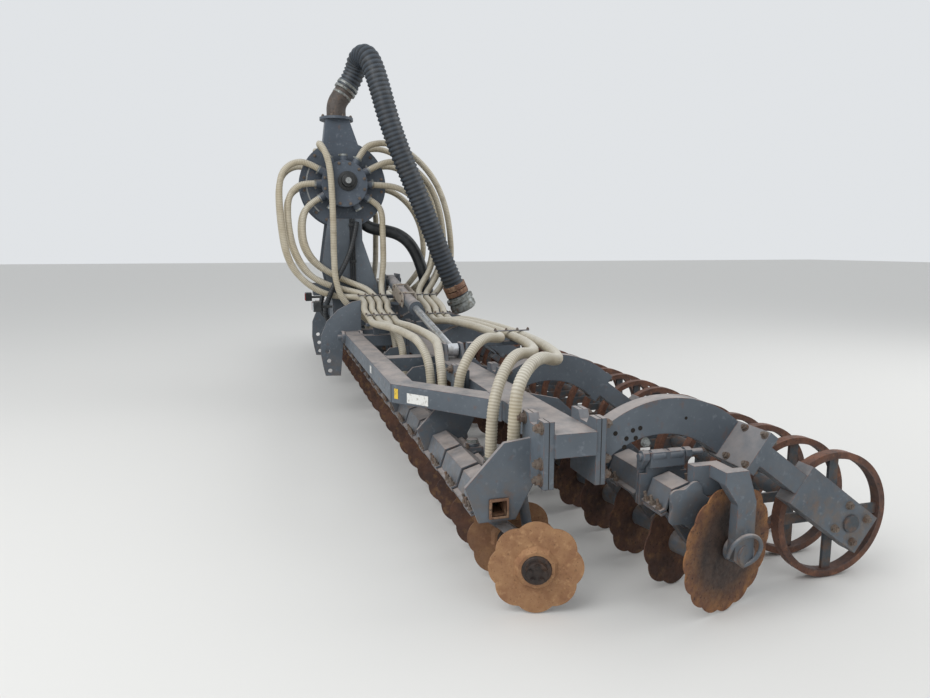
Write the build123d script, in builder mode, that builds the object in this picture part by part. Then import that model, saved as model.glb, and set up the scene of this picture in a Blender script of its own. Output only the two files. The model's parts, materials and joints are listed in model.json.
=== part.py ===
from build123d import *
from math import cos, pi, radians, sin, tan
import os

os.makedirs("parts", exist_ok=True)

# A folding disc injector for slurry. +X runs along the left wing, +Y to the rear, +Z up, ground at Z 0.
# Y values in the tables are measured behind the centre line of the main beam.

# Driving dimensions, in millimetres
BEAM_Y = -342.0
BEAM_FRONT, BEAM_REAR = -85.0, 90.0
BEAM_LOW, BEAM_TOP = 637.0, 732.0
BEAM_END = 4110.0
RAIL_FRONT, RAIL_REAR = -515.0, -390.0
RAIL_LOW, RAIL_TOP = 628.0, 728.0
HINGE_X, HINGE_Z = 700.0, 690.0
WING_START = 760.0
CENTRE_END = 640.0

GANG_SIDE, GANG_WALL = 80.0, 8.0
FRONT_GANG = (-262.0, 405.0)
REAR_GANG = (410.0, 452.0)
FRONT_PITCH, REAR_PITCH = 292.0, 302.0
FRONT_LAST, REAR_LAST = 3787.0, 3899.0
WING_UNITS = 11
CENTRE_UNITS = (-438.0, -146.0, 146.0, 438.0)
COVER_LENGTH = 262.0
COVER_LEAN = 17.0

DISC_YAW = 17.0
DISC_THICK = 6.0
LOBES, LOBE_DEPTH = 8, 16.0
FRONT_DISC_R, REAR_DISC_R, EDGE_DISC_R = 190.0, 195.0, 265.0
FRONT_HUB_Y, REAR_HUB_Y, EDGE_HUB_Y = -143.0, 525.0, 592.0
FRONT_DISC_OFFSET, REAR_DISC_OFFSET = 290.0, -186.0
FRONT_LEG_ROOT, REAR_LEG_ROOT = (34.0, 124.0), (-124.0, -60.0)
FRONT_CLAMP, REAR_CLAMP = (16.0, 131.0), (-131.0, -16.0)
OUTLET_OFFSET, OUTLET_Y = 92.0, -172.0
EDGE_DISC_X = 4268.0
EDGE_LOBES, EDGE_LOBE_DEPTH = 16, 12.0

ROLLER_Y, RING_R, RING_THICK, RING_WIDTH = 1211.0, 283.0, 30.0, 46.0
RING_PITCH = 235.0
WING_RINGS, LAST_RING_X = 15, 4130.0
CENTRE_RINGS = (-470.0, -235.0, 0.0, 235.0, 470.0)
AXLE_R = 38.0

HOSE_R = 28.0
CYLINDER_FOOT = (60.0, 1130.0)
CYLINDER_EYE = (2268.0, 790.0)
BARREL_LENGTH, BARREL_R, ROD_LENGTH, ROD_R = 1130.0, 50.0, 1174.0, 27.0


def side_plane(x):
    """Plane across the machine at x; its coordinates are (behind the beam, height)."""
    return Plane(origin=(x, BEAM_Y, 0), x_dir=(0, 1, 0), z_dir=(1, 0, 0))


def front_plane(y):
    """Plane along the machine at y behind the beam; its coordinates are (x, height), and it faces forward."""
    return Plane(origin=(0, BEAM_Y + y, 0), x_dir=(1, 0, 0), z_dir=(0, -1, 0))


def top_plane(z):
    return Plane(origin=(0, BEAM_Y, z))


def point(x, y, z):
    return Vector(x, BEAM_Y + y, z)


def bar(x0, x1, y0, y1, z0, z1, mode=Mode.ADD):
    """A rectangular bar between two corners."""
    with Locations(point((x0 + x1) / 2, (y0 + y1) / 2, (z0 + z1) / 2)):
        Box(abs(x1 - x0), abs(y1 - y0), abs(z1 - z0), mode=mode)


def plate(plane, outline, thickness, mode=Mode.ADD):
    """A flat plate with an outline of straight edges."""
    with BuildSketch(plane) as face:
        with BuildLine():
            Polyline(*outline, close=True)
        make_face()
    extrude(face.sketch, amount=thickness, mode=mode)


def disk(plane, radius, thickness, centre=(0, 0), mode=Mode.ADD):
    """A round plate or bar on a plane, centred at a point of it."""
    with BuildSketch(plane) as face:
        with Locations(centre):
            Circle(radius)
    extrude(face.sketch, amount=thickness, mode=mode)


def rod(start, end, radius, mode=Mode.ADD):
    """A round bar from one point to another."""
    disk(Plane(origin=start, z_dir=end - start), radius, (end - start).length, mode=mode)


def hose_path(points, share=0.45):
    """Straight runs joined by arcs as large as their two runs allow."""
    radii = []
    for before, here, after in zip(points, points[1:], points[2:]):
        half_turn = radians((here - before).get_angle(after - here)) / 2
        shorter = min((here - before).length, (after - here).length)
        radii.append(share * shorter / tan(half_turn))
    print("radii", *[round(radius) for radius in radii])
    return FilletPolyline(*points, radius=radii)


def hose(route, radius):
    """A hose along a route of (x, y behind the beam, z) points."""
    points = [point(*p) for p in route]
    with BuildLine() as path:
        hose_path(points)
    with BuildSketch(Plane(origin=points[0], z_dir=points[1] - points[0])) as section:
        Circle(radius)
    sweep(section.sketch, path=path.line)


def save(builder, name):
    builder.part.label = name
    export_step(builder.part, f"parts/{name}.step")


def save_mirrored(builder, name):
    """The right wing's piece is the left wing's, mirrored."""
    with BuildPart() as other:
        mirror(builder.part, about=Plane.YZ)
    save(other, name)


# Outlines of the cover and of the arm's clamp round a gang tube, about the tube's centre
UPPER_COVER = (
    (-108, 2), (-108, 12), (-86, 12), (-38, 78), (38, 78), (86, 12), (108, 12), (108, 2),
    (80, 2), (33, 68), (-33, 68), (-80, 2),
)
LOWER_CLAMP = (
    (-108, -2), (-80, -2), (-33, -68), (33, -68), (80, -2), (108, -2),
    (108, -12), (86, -12), (24, -100), (-24, -100), (-86, -12), (-108, -12),
)
RUBBER = ((-28, 42), (28, 42), (0, 62))


def gang_plane(x, gang):
    """Plane across a gang tube, leaning with its covers; its origin is the tube's centre."""
    y, z = gang
    lean = radians(COVER_LEAN)
    return Plane(origin=point(x, y, z), x_dir=(0, cos(lean), sin(lean)), z_dir=(1, 0, 0))


def tube(x0, x1, place):
    """A square gang tube."""
    y, z = place
    half = GANG_SIDE / 2
    inner = half - GANG_WALL
    bar(x0, x1, y - half, y + half, z - half, z + half)
    bar(x0, x1, y - inner, y + inner, z - inner, z + inner, mode=Mode.SUBTRACT)


def rubbers(place):
    """Four rubber cords under a cover, between the gang tube's flat sides and the cover."""
    length = COVER_LENGTH + 4
    y, z = place
    for quarter in range(4):
        turn = radians(90 * quarter)
        plane = Plane(origin=point(-length / 2, y, z), x_dir=(0, cos(turn), sin(turn)), z_dir=(1, 0, 0))
        plate(plane, RUBBER, length)


def repeat(unit, centres):
    """Copies of a unit made at x 0, along the machine."""
    with Locations(*[(x, 0, 0) for x in centres]):
        add(unit.part)


def disc_plane(x, y, radius, turn):
    """Plane of a disc's middle, standing on the ground; turn is +1 where it faces rearwards and out."""
    yaw = radians(DISC_YAW)
    return Plane(origin=point(x, y, radius), x_dir=(0, 0, 1), z_dir=(cos(yaw), turn * sin(yaw), 0))


def wavy_disc(x, y, radius, turn, side, lobes=LOBES, depth=LOBE_DEPTH):
    """A worn wavy disc with a domed centre; side is +1 where the dome bulges along the plane's normal."""
    plane = disc_plane(x, y, radius, turn)
    step = 2 * pi / lobes
    with BuildSketch(plane.offset(-DISC_THICK / 2)) as blade:
        with BuildLine():
            for lobe in range(lobes):
                ends = [(radius - depth, (lobe - 0.5) * step), (radius, lobe * step)]
                ends.append((radius - depth, (lobe + 0.5) * step))
                ThreePointArc(*[(r * cos(a), r * sin(a)) for r, a in ends])
        make_face()
    extrude(blade.sketch, amount=DISC_THICK)
    face = plane.offset(side * DISC_THICK / 2)
    with BuildSketch(face) as dome:
        RegularPolygon(radius=radius * 0.48, side_count=10)
    extrude(dome.sketch, amount=side * 22, taper=35)
    with BuildSketch(face.offset(side * 22)) as cap:
        RegularPolygon(radius=radius * 0.2, side_count=5)
    extrude(cap.sketch, amount=side * 14)


BEARING_R, BEARING_LENGTH, LEG_WIDTH = 50.0, 112.0, 44.0


def disc_leg(clamp, root, x, y, radius, turn, side, place):
    """A cast clamp under a cover, and its leg out to the disc's bearing, away from the dome's side."""
    plate(gang_plane(clamp[0], place), LOWER_CLAMP, clamp[1] - clamp[0])
    plane = disc_plane(x, y, radius, turn)
    back = plane.offset(-side * DISC_THICK / 2)
    disk(back, BEARING_R, -side * BEARING_LENGTH)
    hub = back.origin - plane.z_dir * side * (BEARING_LENGTH - LEG_WIDTH / 2)
    gang_y, gang_z = place
    hub_y = hub.Y - BEAM_Y
    half = LEG_WIDTH / 2
    low = min(root[0], hub.X - half)
    high = max(root[1], hub.X + half)
    with BuildSketch(side_plane(low)) as flank:
        with BuildLine():
            Polyline(
                (gang_y, gang_z - 92), (gang_y + 52, gang_z - 86), (hub_y + 46, radius + 24),
                (hub_y + 34, radius - 40), (hub_y - 34, radius - 34), (hub_y - 44, radius + 34),
                close=True,
            )
        make_face()
    with BuildSketch(front_plane(gang_y + 400)) as front:
        with BuildLine():
            Polyline(
                (root[0], gang_z - 80), (root[1], gang_z - 80),
                (hub.X + half, radius + 20), (hub.X + half, radius - 60),
                (hub.X - half, radius - 60), (hub.X - half, radius + 10),
                close=True,
            )
        make_face()
    shape = extrude(flank.sketch, amount=high - low, mode=Mode.PRIVATE)
    cut = extrude(front.sketch, amount=800, mode=Mode.PRIVATE)
    add(shape & cut)


def outlet(x):
    """A slurry outlet behind the front covers: a flange, and a pipe down behind the disc."""
    bar(x - 36, x + 36, OUTLET_Y - 42, OUTLET_Y + 42, 440, 464)
    rod(point(x, -136, 450), point(x, -92, 200), 22)


# One unit of each gang, at x 0: cover, clamp and leg, and in front its outlet
with BuildPart() as front_unit:
    plate(gang_plane(-COVER_LENGTH / 2, FRONT_GANG), UPPER_COVER, COVER_LENGTH)
    disc_leg(FRONT_CLAMP, FRONT_LEG_ROOT, FRONT_DISC_OFFSET, FRONT_HUB_Y, FRONT_DISC_R, -1, 1, FRONT_GANG)
    outlet(OUTLET_OFFSET)
with BuildPart() as rear_unit:
    plate(gang_plane(-COVER_LENGTH / 2, REAR_GANG), UPPER_COVER, COVER_LENGTH)
    disc_leg(REAR_CLAMP, REAR_LEG_ROOT, REAR_DISC_OFFSET, REAR_HUB_Y, REAR_DISC_R, 1, -1, REAR_GANG)
with BuildPart() as front_disc:
    wavy_disc(FRONT_DISC_OFFSET, FRONT_HUB_Y, FRONT_DISC_R, -1, 1)
with BuildPart() as rear_disc:
    wavy_disc(REAR_DISC_OFFSET, REAR_HUB_Y, REAR_DISC_R, 1, -1)
with BuildPart() as front_rubber:
    rubbers(FRONT_GANG)
with BuildPart() as rear_rubber:
    rubbers(REAR_GANG)


# Folding hinges: two ears a side on the centre section, and an eye on the wing between them
EAR_THICK, EAR_R, PIN_R, HINGE_GAP = 24.0, 50.0, 22.0, 6.0
HINGE_SEATS = ((RAIL_FRONT, RAIL_REAR), (BEAM_FRONT, BEAM_REAR))


def hinge_ears(side):
    """Ears on both faces of the rail and of the beam, with the pin through them."""
    for front, rear in HINGE_SEATS:
        for face in (front, rear + EAR_THICK):
            with BuildSketch(front_plane(face)) as ear:
                with Locations((side * HINGE_X, HINGE_Z)):
                    Circle(EAR_R)
                with Locations((side * (HINGE_X - 46), HINGE_Z)):
                    Rectangle(92, 2 * EAR_R - 10)
            extrude(ear.sketch, amount=EAR_THICK)
        start = point(side * HINGE_X, front - 58, HINGE_Z)
        rod(start, point(side * HINGE_X, rear + 40, HINGE_Z), PIN_R)


def hinge_eyes(side):
    """The wing's eyes, bored for the pins."""
    for front, rear in HINGE_SEATS:
        low, high = front + HINGE_GAP, rear - HINGE_GAP
        with BuildSketch(front_plane(high)) as eye:
            with Locations((side * HINGE_X, HINGE_Z)):
                Circle(EAR_R - 8)
            with Locations((side * (HINGE_X + 35), HINGE_Z)):
                Rectangle(70, 2 * EAR_R - 24)
            with Locations((side * HINGE_X, HINGE_Z)):
                Circle(PIN_R + 0.05, mode=Mode.SUBTRACT)
        extrude(eye.sketch, amount=high - low)


# Bolted flange plates on the beam for the roller arms
FLANGE_WIDTH, FLANGE_THICK, FLANGE_LOW, FLANGE_HIGH = 230.0, 22.0, 512.0, 780.0


def flanges(x):
    """A pair of flange plates on each face of the beam, notched between two ears."""
    left, right = x - FLANGE_WIDTH / 2, x + FLANGE_WIDTH / 2
    outline = (
        (left, FLANGE_LOW), (right, FLANGE_LOW), (right, FLANGE_HIGH), (x + 50, FLANGE_HIGH),
        (x + 30, BEAM_TOP + 14), (x - 30, BEAM_TOP + 14), (x - 50, FLANGE_HIGH), (left, FLANGE_HIGH),
    )
    for face in (BEAM_FRONT, BEAM_REAR + 2 * FLANGE_THICK):
        plate(front_plane(face), outline, 2 * FLANGE_THICK)


# Carrier plates in the gaps between covers, from the beam to the gang tubes
CARRIER_THICK = 20.0
FRONT_CARRIER = (
    (BEAM_FRONT, 560), (BEAM_FRONT, 690), (-240, 672), (-402, 500), (-345, 350), (-190, 350), (-112, 500),
)
REAR_CARRIER = ((BEAM_REAR, 560), (BEAM_REAR, 700), (350, 640), (510, 500), (480, 400), (340, 400))


def carriers(positions, outline, place):
    """Carrier plates round a gang tube, open where the tube is."""
    half = GANG_SIDE / 2
    y, z = place
    for x in positions:
        low, high = x - CARRIER_THICK / 2, x + CARRIER_THICK / 2
        plate(side_plane(low), outline, CARRIER_THICK)
        bar(low, high, y - half, y + half, z - half, z + half, mode=Mode.SUBTRACT)


# Roller arms
JOINT_Y, JOINT_Z = 745.0, 625.0
AXLE_Z = RING_R


def roller_arm(x_beam, x_axle, width):
    """A curved box arm from the beam's rear flange, a bolted joint, a straight arm and the bearing box."""
    start = BEAM_REAR + 2 * FLANGE_THICK
    with BuildSketch(side_plane(x_beam - width / 2)) as side:
        with BuildLine():
            top = ThreePointArc((start, 716), (start + 255, 826), (start + 660, 692))
            low = ThreePointArc((start, 566), (start + 240, 680), (start + 552, 566))
            Line(top @ 0, low @ 0)
            Line(top @ 1, low @ 1)
        make_face()
    extrude(side.sketch, amount=width)
    down = Vector(0, ROLLER_Y - JOINT_Y, AXLE_Z - JOINT_Z)
    reach = down.length
    left, right = min(x_beam, x_axle) - width / 2, max(x_beam, x_axle) + width / 2
    arm = Plane(origin=point(x_axle - width / 2, JOINT_Y, JOINT_Z), x_dir=down.normalized(), z_dir=(1, 0, 0))
    with BuildSketch(arm) as straight:
        with Locations((reach / 2, 0)):
            Rectangle(reach, 90)
    extrude(straight.sketch, amount=width)
    joint = Plane(origin=point(left, JOINT_Y, JOINT_Z), x_dir=down.normalized(), z_dir=(1, 0, 0))
    with BuildSketch(joint) as flange:
        Rectangle(44, 180)
    extrude(flange.sketch, amount=right - left)
    with BuildSketch(arm.offset(-2)) as box:
        with Locations((reach - 110, 0)):
            Rectangle(440, 180)
    extrude(box.sketch, amount=width + 4)
    disk(side_plane(x_axle - width), AXLE_R + 0.05, 2 * width, (ROLLER_Y, AXLE_Z), mode=Mode.SUBTRACT)


with BuildPart() as ring_unit:
    with BuildSketch(side_plane(-RING_WIDTH / 2)) as ring:
        with Locations((ROLLER_Y, AXLE_Z)):
            Circle(RING_R)
            Circle(RING_R - RING_THICK, mode=Mode.SUBTRACT)
    extrude(ring.sketch, amount=RING_WIDTH)
    with BuildSketch(side_plane(-7)) as spokes:
        with Locations((ROLLER_Y, AXLE_Z)):
            for turn in (0, 90):
                Rectangle(2 * RING_R - RING_THICK, 46, rotation=turn)
    extrude(spokes.sketch, amount=14)


def roller(x0, x1, rings):
    """An axle with its rings."""
    disk(side_plane(x0), AXLE_R, x1 - x0, (ROLLER_Y, AXLE_Z))
    repeat(ring_unit, rings)


FRONT_CENTRES = [FRONT_LAST - FRONT_PITCH * n for n in range(WING_UNITS)]
REAR_CENTRES = [REAR_LAST - REAR_PITCH * n for n in range(WING_UNITS)]
RINGS = [LAST_RING_X - RING_PITCH * n for n in range(WING_RINGS)]
WING_ARMS = ((4010.0, 4205.0), (2837.5, 2837.5), (1192.5, 1192.5))
CENTRE_ARMS = (-352.5, 352.5)
FRONT_CARRIERS_X = (3955.0, 3057.0, 2181.0, 1305.0)
REAR_CARRIERS_X = (3748.0, 3144.0, 2238.0, 1332.0)
CENTRE_CARRIERS_X = (-292.0, 292.0)
FRONT_TUBE, REAR_TUBE, CENTRE_TUBE = (722.0, 3972.0), (722.0, 4048.0), 575.0

# Centre section
HITCH_X, HITCH_THICK = 590.0, 24.0
with BuildPart() as centre_frame:
    bar(-CENTRE_END, CENTRE_END, RAIL_FRONT, RAIL_REAR, RAIL_LOW, RAIL_TOP)
    bar(-CENTRE_END, CENTRE_END, BEAM_FRONT, BEAM_REAR, BEAM_LOW, BEAM_TOP)
    for x in (-540.0, 440.0):
        bar(x, x + 100, RAIL_REAR, BEAM_FRONT, RAIL_LOW + 12, RAIL_TOP)
    carriers(CENTRE_CARRIERS_X, FRONT_CARRIER, FRONT_GANG)
    carriers(CENTRE_CARRIERS_X, REAR_CARRIER, REAR_GANG)
    for side in (-1, 1):
        hinge_ears(side)
        flanges(side * CENTRE_ARMS[1])
save(centre_frame, "centre_frame")

HITCH_OUTLINE = (
    (-672, 350), (-690, 430), (-707, 542), (-700, 695), (-650, 815), (-556, 911), (-434, 977), (-360, 990),
    (-360, RAIL_TOP), (RAIL_FRONT, RAIL_TOP), (RAIL_FRONT, RAIL_LOW), (-545, 345),
)
HITCH_HOLES = ((-649, 562), (-640, 477), (-633, 392))
HITCH_HOLE_R = 18.0
with BuildPart() as hitch_plates:
    for side in (-1, 1):
        plane = side_plane(side * HITCH_X - HITCH_THICK / 2)
        plate(plane, HITCH_OUTLINE, HITCH_THICK)
        for hole in HITCH_HOLES:
            disk(plane, HITCH_HOLE_R, HITCH_THICK, hole, mode=Mode.SUBTRACT)
save(hitch_plates, "hitch_plates")

TOWER_X, TOWER_THICK = 180.0, 16.0
TOWER_OUTLINE = (
    (RAIL_FRONT, RAIL_TOP), (-110, RAIL_TOP), (-150, 1100), (-280, 1500), (-280, 1690), (-580, 1690),
    (-640, 1300),
)
FOOT_X, FOOT_Z, FOOT_PIN_R = CYLINDER_FOOT[0], CYLINDER_FOOT[1], 22.0
with BuildPart() as tower:
    for side in (-1, 1):
        plate(side_plane(side * TOWER_X - TOWER_THICK / 2), TOWER_OUTLINE, TOWER_THICK)
    bar(-TOWER_X, TOWER_X, -560, -540, 760, 1560)
    bar(-TOWER_X, TOWER_X, -330, -310, 760, 1480)
    for side in (-1, 1):
        bar(side * 60 - 12, side * 60 + 12, -720, -560, 1000, 1110)
    disk(side_plane(-90), 16, 180, (-680, 1055), mode=Mode.SUBTRACT)
    for y in (-74, 58):
        outline = ((-100, BEAM_TOP), (100, BEAM_TOP), (120, 1190), (-120, 1190))
        plate(front_plane(y + 16), outline, 16)
    bar(-100, 100, -58, 58, BEAM_TOP, BEAM_TOP + 20)
    bar(-60, 60, -310, -74, 800, 840)
    for side in (-1, 1):
        rod(point(side * FOOT_X, -90, FOOT_Z), point(side * FOOT_X, 90, FOOT_Z), FOOT_PIN_R)
save(tower, "tower")

HEAD_Y, HEAD_Z, HOUSING_R, HOUSING_X = -430.0, 1990.0, 380.0, 120.0
HEAD_R, HEAD_OUT, PORT_R, PORT_OUT = 200.0, 250.0, 34.0, 250.0
PORT_X = 185.0
with BuildPart() as distributor_housing:
    for x in (-HOUSING_X, HOUSING_X - 12):
        disk(side_plane(x), HOUSING_R, 12, (HEAD_Y, HEAD_Z))
    disk(side_plane(-HOUSING_X), 300, 2 * HOUSING_X, (HEAD_Y, HEAD_Z))
    with BuildSketch(top_plane(2230)) as low:
        with Locations((0, -430)):
            Rectangle(220, 360)
    with BuildSketch(top_plane(2560)) as high:
        with Locations((0, -465)):
            Rectangle(190, 205)
    loft([low.sketch, high.sketch])
    disk(top_plane(2560), 149, 24, (0, -465))
save(distributor_housing, "distributor_housing")

PORT_ANGLES = [30 * n - 60 for n in range(11)]
with BuildPart() as distributor_heads:
    for side in (-1, 1):
        start = HOUSING_X if side > 0 else -HEAD_OUT
        disk(side_plane(start), HEAD_R, HEAD_OUT - HOUSING_X, (HEAD_Y, HEAD_Z))
        for angle in PORT_ANGLES:
            out = Vector(0, cos(radians(angle)), sin(radians(angle)))
            middle = point(side * PORT_X, HEAD_Y, HEAD_Z)
            rod(middle + out * (HEAD_R - 20), middle + out * PORT_OUT, PORT_R)
save(distributor_heads, "distributor_heads")

# Routes as (x, y behind the beam, z)
ELBOW_ROUTE = ((0, -465, 2584), (0, -465, 2700), (0, -385, 2820))
FEED_ROUTE = (
    (0, -385, 2820), (0, -305, 2940), (60, -265, 3095), (225, -205, 3095), (300, -140, 2900),
    (370, -30, 2430), (385, 250, 1760), (360, 460, 1240), (345, 575, 1000),
)
FEED_R, ELBOW_R = 95.0, 85.0
with BuildPart() as inlet_elbow:
    hose(ELBOW_ROUTE, ELBOW_R)
save(inlet_elbow, "inlet_elbow")
with BuildPart() as feed_hose:
    hose(FEED_ROUTE, FEED_R)
save(feed_hose, "feed_hose")
FEED_END, FEED_ALONG = point(*FEED_ROUTE[-1]), (point(*FEED_ROUTE[-1]) - point(*FEED_ROUTE[-2])).normalized()
with BuildPart() as feed_coupling:
    for start, end, radius in ((0, 130, 100), (20, 50, 125), (90, 130, 120)):
        rod(FEED_END + FEED_ALONG * start, FEED_END + FEED_ALONG * end, radius)
save(feed_coupling, "feed_coupling")

with BuildPart() as centre_front_gang:
    tube(-CENTRE_TUBE, CENTRE_TUBE, FRONT_GANG)
    repeat(front_unit, CENTRE_UNITS)
save(centre_front_gang, "centre_front_gang")
with BuildPart() as centre_rear_gang:
    tube(-CENTRE_TUBE, CENTRE_TUBE, REAR_GANG)
    repeat(rear_unit, CENTRE_UNITS)
save(centre_rear_gang, "centre_rear_gang")
with BuildPart() as centre_discs:
    repeat(front_disc, CENTRE_UNITS)
    repeat(rear_disc, CENTRE_UNITS)
save(centre_discs, "centre_discs")
with BuildPart() as centre_rubbers:
    repeat(front_rubber, CENTRE_UNITS)
    repeat(rear_rubber, CENTRE_UNITS)
save(centre_rubbers, "centre_rubbers")
with BuildPart() as centre_roller_arms:
    for x in CENTRE_ARMS:
        roller_arm(x, x, 90)
save(centre_roller_arms, "centre_roller_arms")
with BuildPart() as centre_roller:
    roller(-560, 560, CENTRE_RINGS)
save(centre_roller, "centre_roller")

# Wing rail and its slanting end, seen from above, as (x, y behind the beam)
RAIL_OUTLINE = (
    (WING_START, RAIL_FRONT), (2945, RAIL_FRONT), (3490, BEAM_FRONT), (3270, BEAM_FRONT), (2905, RAIL_REAR),
    (WING_START, RAIL_REAR),
)
CROSS_MEMBERS = ((850, 950), (2010, 2130))
EYE_X, EYE_Z, LUG_IN, LUG_OUT = CYLINDER_EYE[0], CYLINDER_EYE[1], 44.0, 64.0
EDGE_PIN_X, EDGE_PIN_Z, EDGE_PIN_R = 4085.0, 606.0, 14.0
EDGE_SQUARE = (302.0, 518.0, 400.0, 580.0)
with BuildPart() as left_wing_frame:
    bar(WING_START, BEAM_END, BEAM_FRONT, BEAM_REAR, BEAM_LOW, BEAM_TOP)
    plate(top_plane(RAIL_LOW), RAIL_OUTLINE, RAIL_TOP - RAIL_LOW)
    for x0, x1 in CROSS_MEMBERS:
        bar(x0, x1, RAIL_REAR, BEAM_FRONT, RAIL_LOW + 12, RAIL_TOP)
    hinge_eyes(1)
    for x_beam, x_axle in WING_ARMS:
        flanges(x_beam - 25 if x_axle > x_beam else x_beam)
    carriers(FRONT_CARRIERS_X, FRONT_CARRIER, FRONT_GANG)
    carriers(REAR_CARRIERS_X, REAR_CARRIER, REAR_GANG)
    for y in (-LUG_OUT, LUG_IN):
        lug_top = EYE_Z + 44
        outline = ((EYE_X - 90, BEAM_TOP), (EYE_X + 90, BEAM_TOP), (EYE_X + 40, lug_top), (EYE_X - 40, lug_top))
        plate(front_plane(y + LUG_OUT - LUG_IN), outline, LUG_OUT - LUG_IN)
save(left_wing_frame, "left_wing_frame")
save_mirrored(left_wing_frame, "right_wing_frame")

for side, name in ((1, "left"), (-1, "right")):
    fronts = [side * x for x in FRONT_CENTRES]
    rears = [side * x for x in REAR_CENTRES]
    with BuildPart() as front_gang:
        tube(*sorted(side * x for x in FRONT_TUBE), FRONT_GANG)
        repeat(front_unit, fronts)
    save(front_gang, f"{name}_front_gang")
    with BuildPart() as rear_gang:
        tube(*sorted(side * x for x in REAR_TUBE), REAR_GANG)
        repeat(rear_unit, rears if side > 0 else rears[1:])
        if side < 0:
            plate(gang_plane(rears[0] - COVER_LENGTH / 2, REAR_GANG), UPPER_COVER, COVER_LENGTH)
        y0, y1, z0, z1 = EDGE_SQUARE
        bar(side * 4048, side * 4060, y0, y1, z0, z1)
        for y in (y0, y1 - 24):
            with BuildSketch(front_plane(y + 24)) as ear:
                with BuildLine():
                    Polyline(
                        (side * 4048, z1 - 40), (side * 4048, z1), (side * (EDGE_PIN_X - 24), EDGE_PIN_Z + 18),
                        (side * (EDGE_PIN_X + 24), EDGE_PIN_Z + 18), (side * (EDGE_PIN_X + 24), EDGE_PIN_Z - 10),
                        (side * 4060, z1 - 40), close=True,
                    )
                make_face()
            extrude(ear.sketch, amount=24)
        pin = side * EDGE_PIN_X
        rod(point(pin, y0 - 16, EDGE_PIN_Z), point(pin, y1 + 60, EDGE_PIN_Z), EDGE_PIN_R)
    save(rear_gang, f"{name}_rear_gang")
    with BuildPart() as discs:
        repeat(front_disc, fronts)
    save(discs, f"{name}_front_discs")
    with BuildPart() as discs:
        repeat(rear_disc, rears if side > 0 else rears[1:])
    save(discs, f"{name}_rear_discs")

with BuildPart() as left_rubbers:
    repeat(front_rubber, FRONT_CENTRES)
    repeat(rear_rubber, REAR_CENTRES)
save(left_rubbers, "left_rubbers")
save_mirrored(left_rubbers, "right_rubbers")
with BuildPart() as left_roller_arms:
    for x_beam, x_axle in WING_ARMS:
        roller_arm(x_beam, x_axle, 80)
save(left_roller_arms, "left_roller_arms")
save_mirrored(left_roller_arms, "right_roller_arms")
with BuildPart() as left_roller:
    roller(800, 4256, RINGS)
save(left_roller, "left_roller")
save_mirrored(left_roller, "right_roller")

# Folding cylinders, in the plane across the machine through the beam's middle
FOOT, EYE = point(FOOT_X, 0, FOOT_Z), point(EYE_X, 0, EYE_Z)
ALONG = (EYE - FOOT).normalized()
with BuildPart() as left_cylinder_barrel:
    rod(FOOT + ALONG * 40, FOOT + ALONG * BARREL_LENGTH, BARREL_R)
    rod(FOOT + ALONG * (BARREL_LENGTH - 60), FOOT + ALONG * BARREL_LENGTH, BARREL_R + 8)
    disk(front_plane(36), 46, 72, (FOOT_X, FOOT_Z))
    disk(front_plane(50), FOOT_PIN_R + 0.05, 100, (FOOT_X, FOOT_Z), mode=Mode.SUBTRACT)
    rod(FOOT + ALONG * 70, FOOT + ALONG * (BARREL_LENGTH + 5), ROD_R + 0.05, mode=Mode.SUBTRACT)
save(left_cylinder_barrel, "left_cylinder_barrel")
save_mirrored(left_cylinder_barrel, "right_cylinder_barrel")
with BuildPart() as left_cylinder_rod:
    rod(EYE - ALONG * ROD_LENGTH, EYE, ROD_R)
    disk(front_plane(34), 40, 68, (EYE_X, EYE_Z))
    disk(front_plane(37), 16, 74, (EYE_X, EYE_Z))
save(left_cylinder_rod, "left_cylinder_rod")
save_mirrored(left_cylinder_rod, "right_cylinder_rod")

# Folding edge units outside the rear gangs; the left one also carries the last rear disc
STUB_FROM, STUB_TO, END_THICK = 4078.0, 4240.0, 12.0
EDGE_LEG_X, EDGE_SHAFT_R = 4330.0, 18.0
EDGE_LEG = ((500, 556), (500, 606), (600, 606), (642, 480), (642, 250), (600, 215), (556, 250), (560, 470))
INNER_DISC_COVER = REAR_LAST + REAR_PITCH
edge_plane = disc_plane(EDGE_DISC_X, EDGE_HUB_Y, EDGE_DISC_R, 1)


def edge_unit():
    """The swinging part of an edge unit: plate, stub tube, cover, and the arm over the edge disc."""
    y0, y1, z0, z1 = EDGE_SQUARE
    gang_y, gang_z = REAR_GANG
    bar(4066, STUB_FROM, y0, y1, z0, 530)
    bar(4066, STUB_FROM, y0 + 30, y1 - 30, 530, z1)
    bar(4066, 4106, y0 + 30, y1 - 30, z1 - 20, EDGE_PIN_Z + 18)
    bore = [point(EDGE_PIN_X, y, EDGE_PIN_Z) for y in (y0 + 20, y1 - 20)]
    rod(*bore, EDGE_PIN_R + 0.05, mode=Mode.SUBTRACT)
    tube(STUB_FROM, STUB_TO, REAR_GANG)
    for outline in (UPPER_COVER, LOWER_CLAMP):
        plate(gang_plane(4092, REAR_GANG), outline, 138)
    with BuildSketch(side_plane(STUB_TO)) as end:
        with Locations((gang_y, gang_z)):
            RegularPolygon(radius=92, side_count=5)
    extrude(end.sketch, amount=END_THICK)
    bar(STUB_TO - 30, STUB_TO + END_THICK, gang_y + 20, 560, gang_z + 30, 606)
    bar(STUB_TO - 30, EDGE_LEG_X + 22, 500, 560, 556, 606)
    plate(side_plane(EDGE_LEG_X - 22), EDGE_LEG, 44)
    disk(edge_plane.offset(DISC_THICK / 2 + 6), BEARING_R - 4, 76)
    disk(edge_plane.offset(DISC_THICK / 2 + 5), EDGE_SHAFT_R + 0.05, 66, mode=Mode.SUBTRACT)


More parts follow.
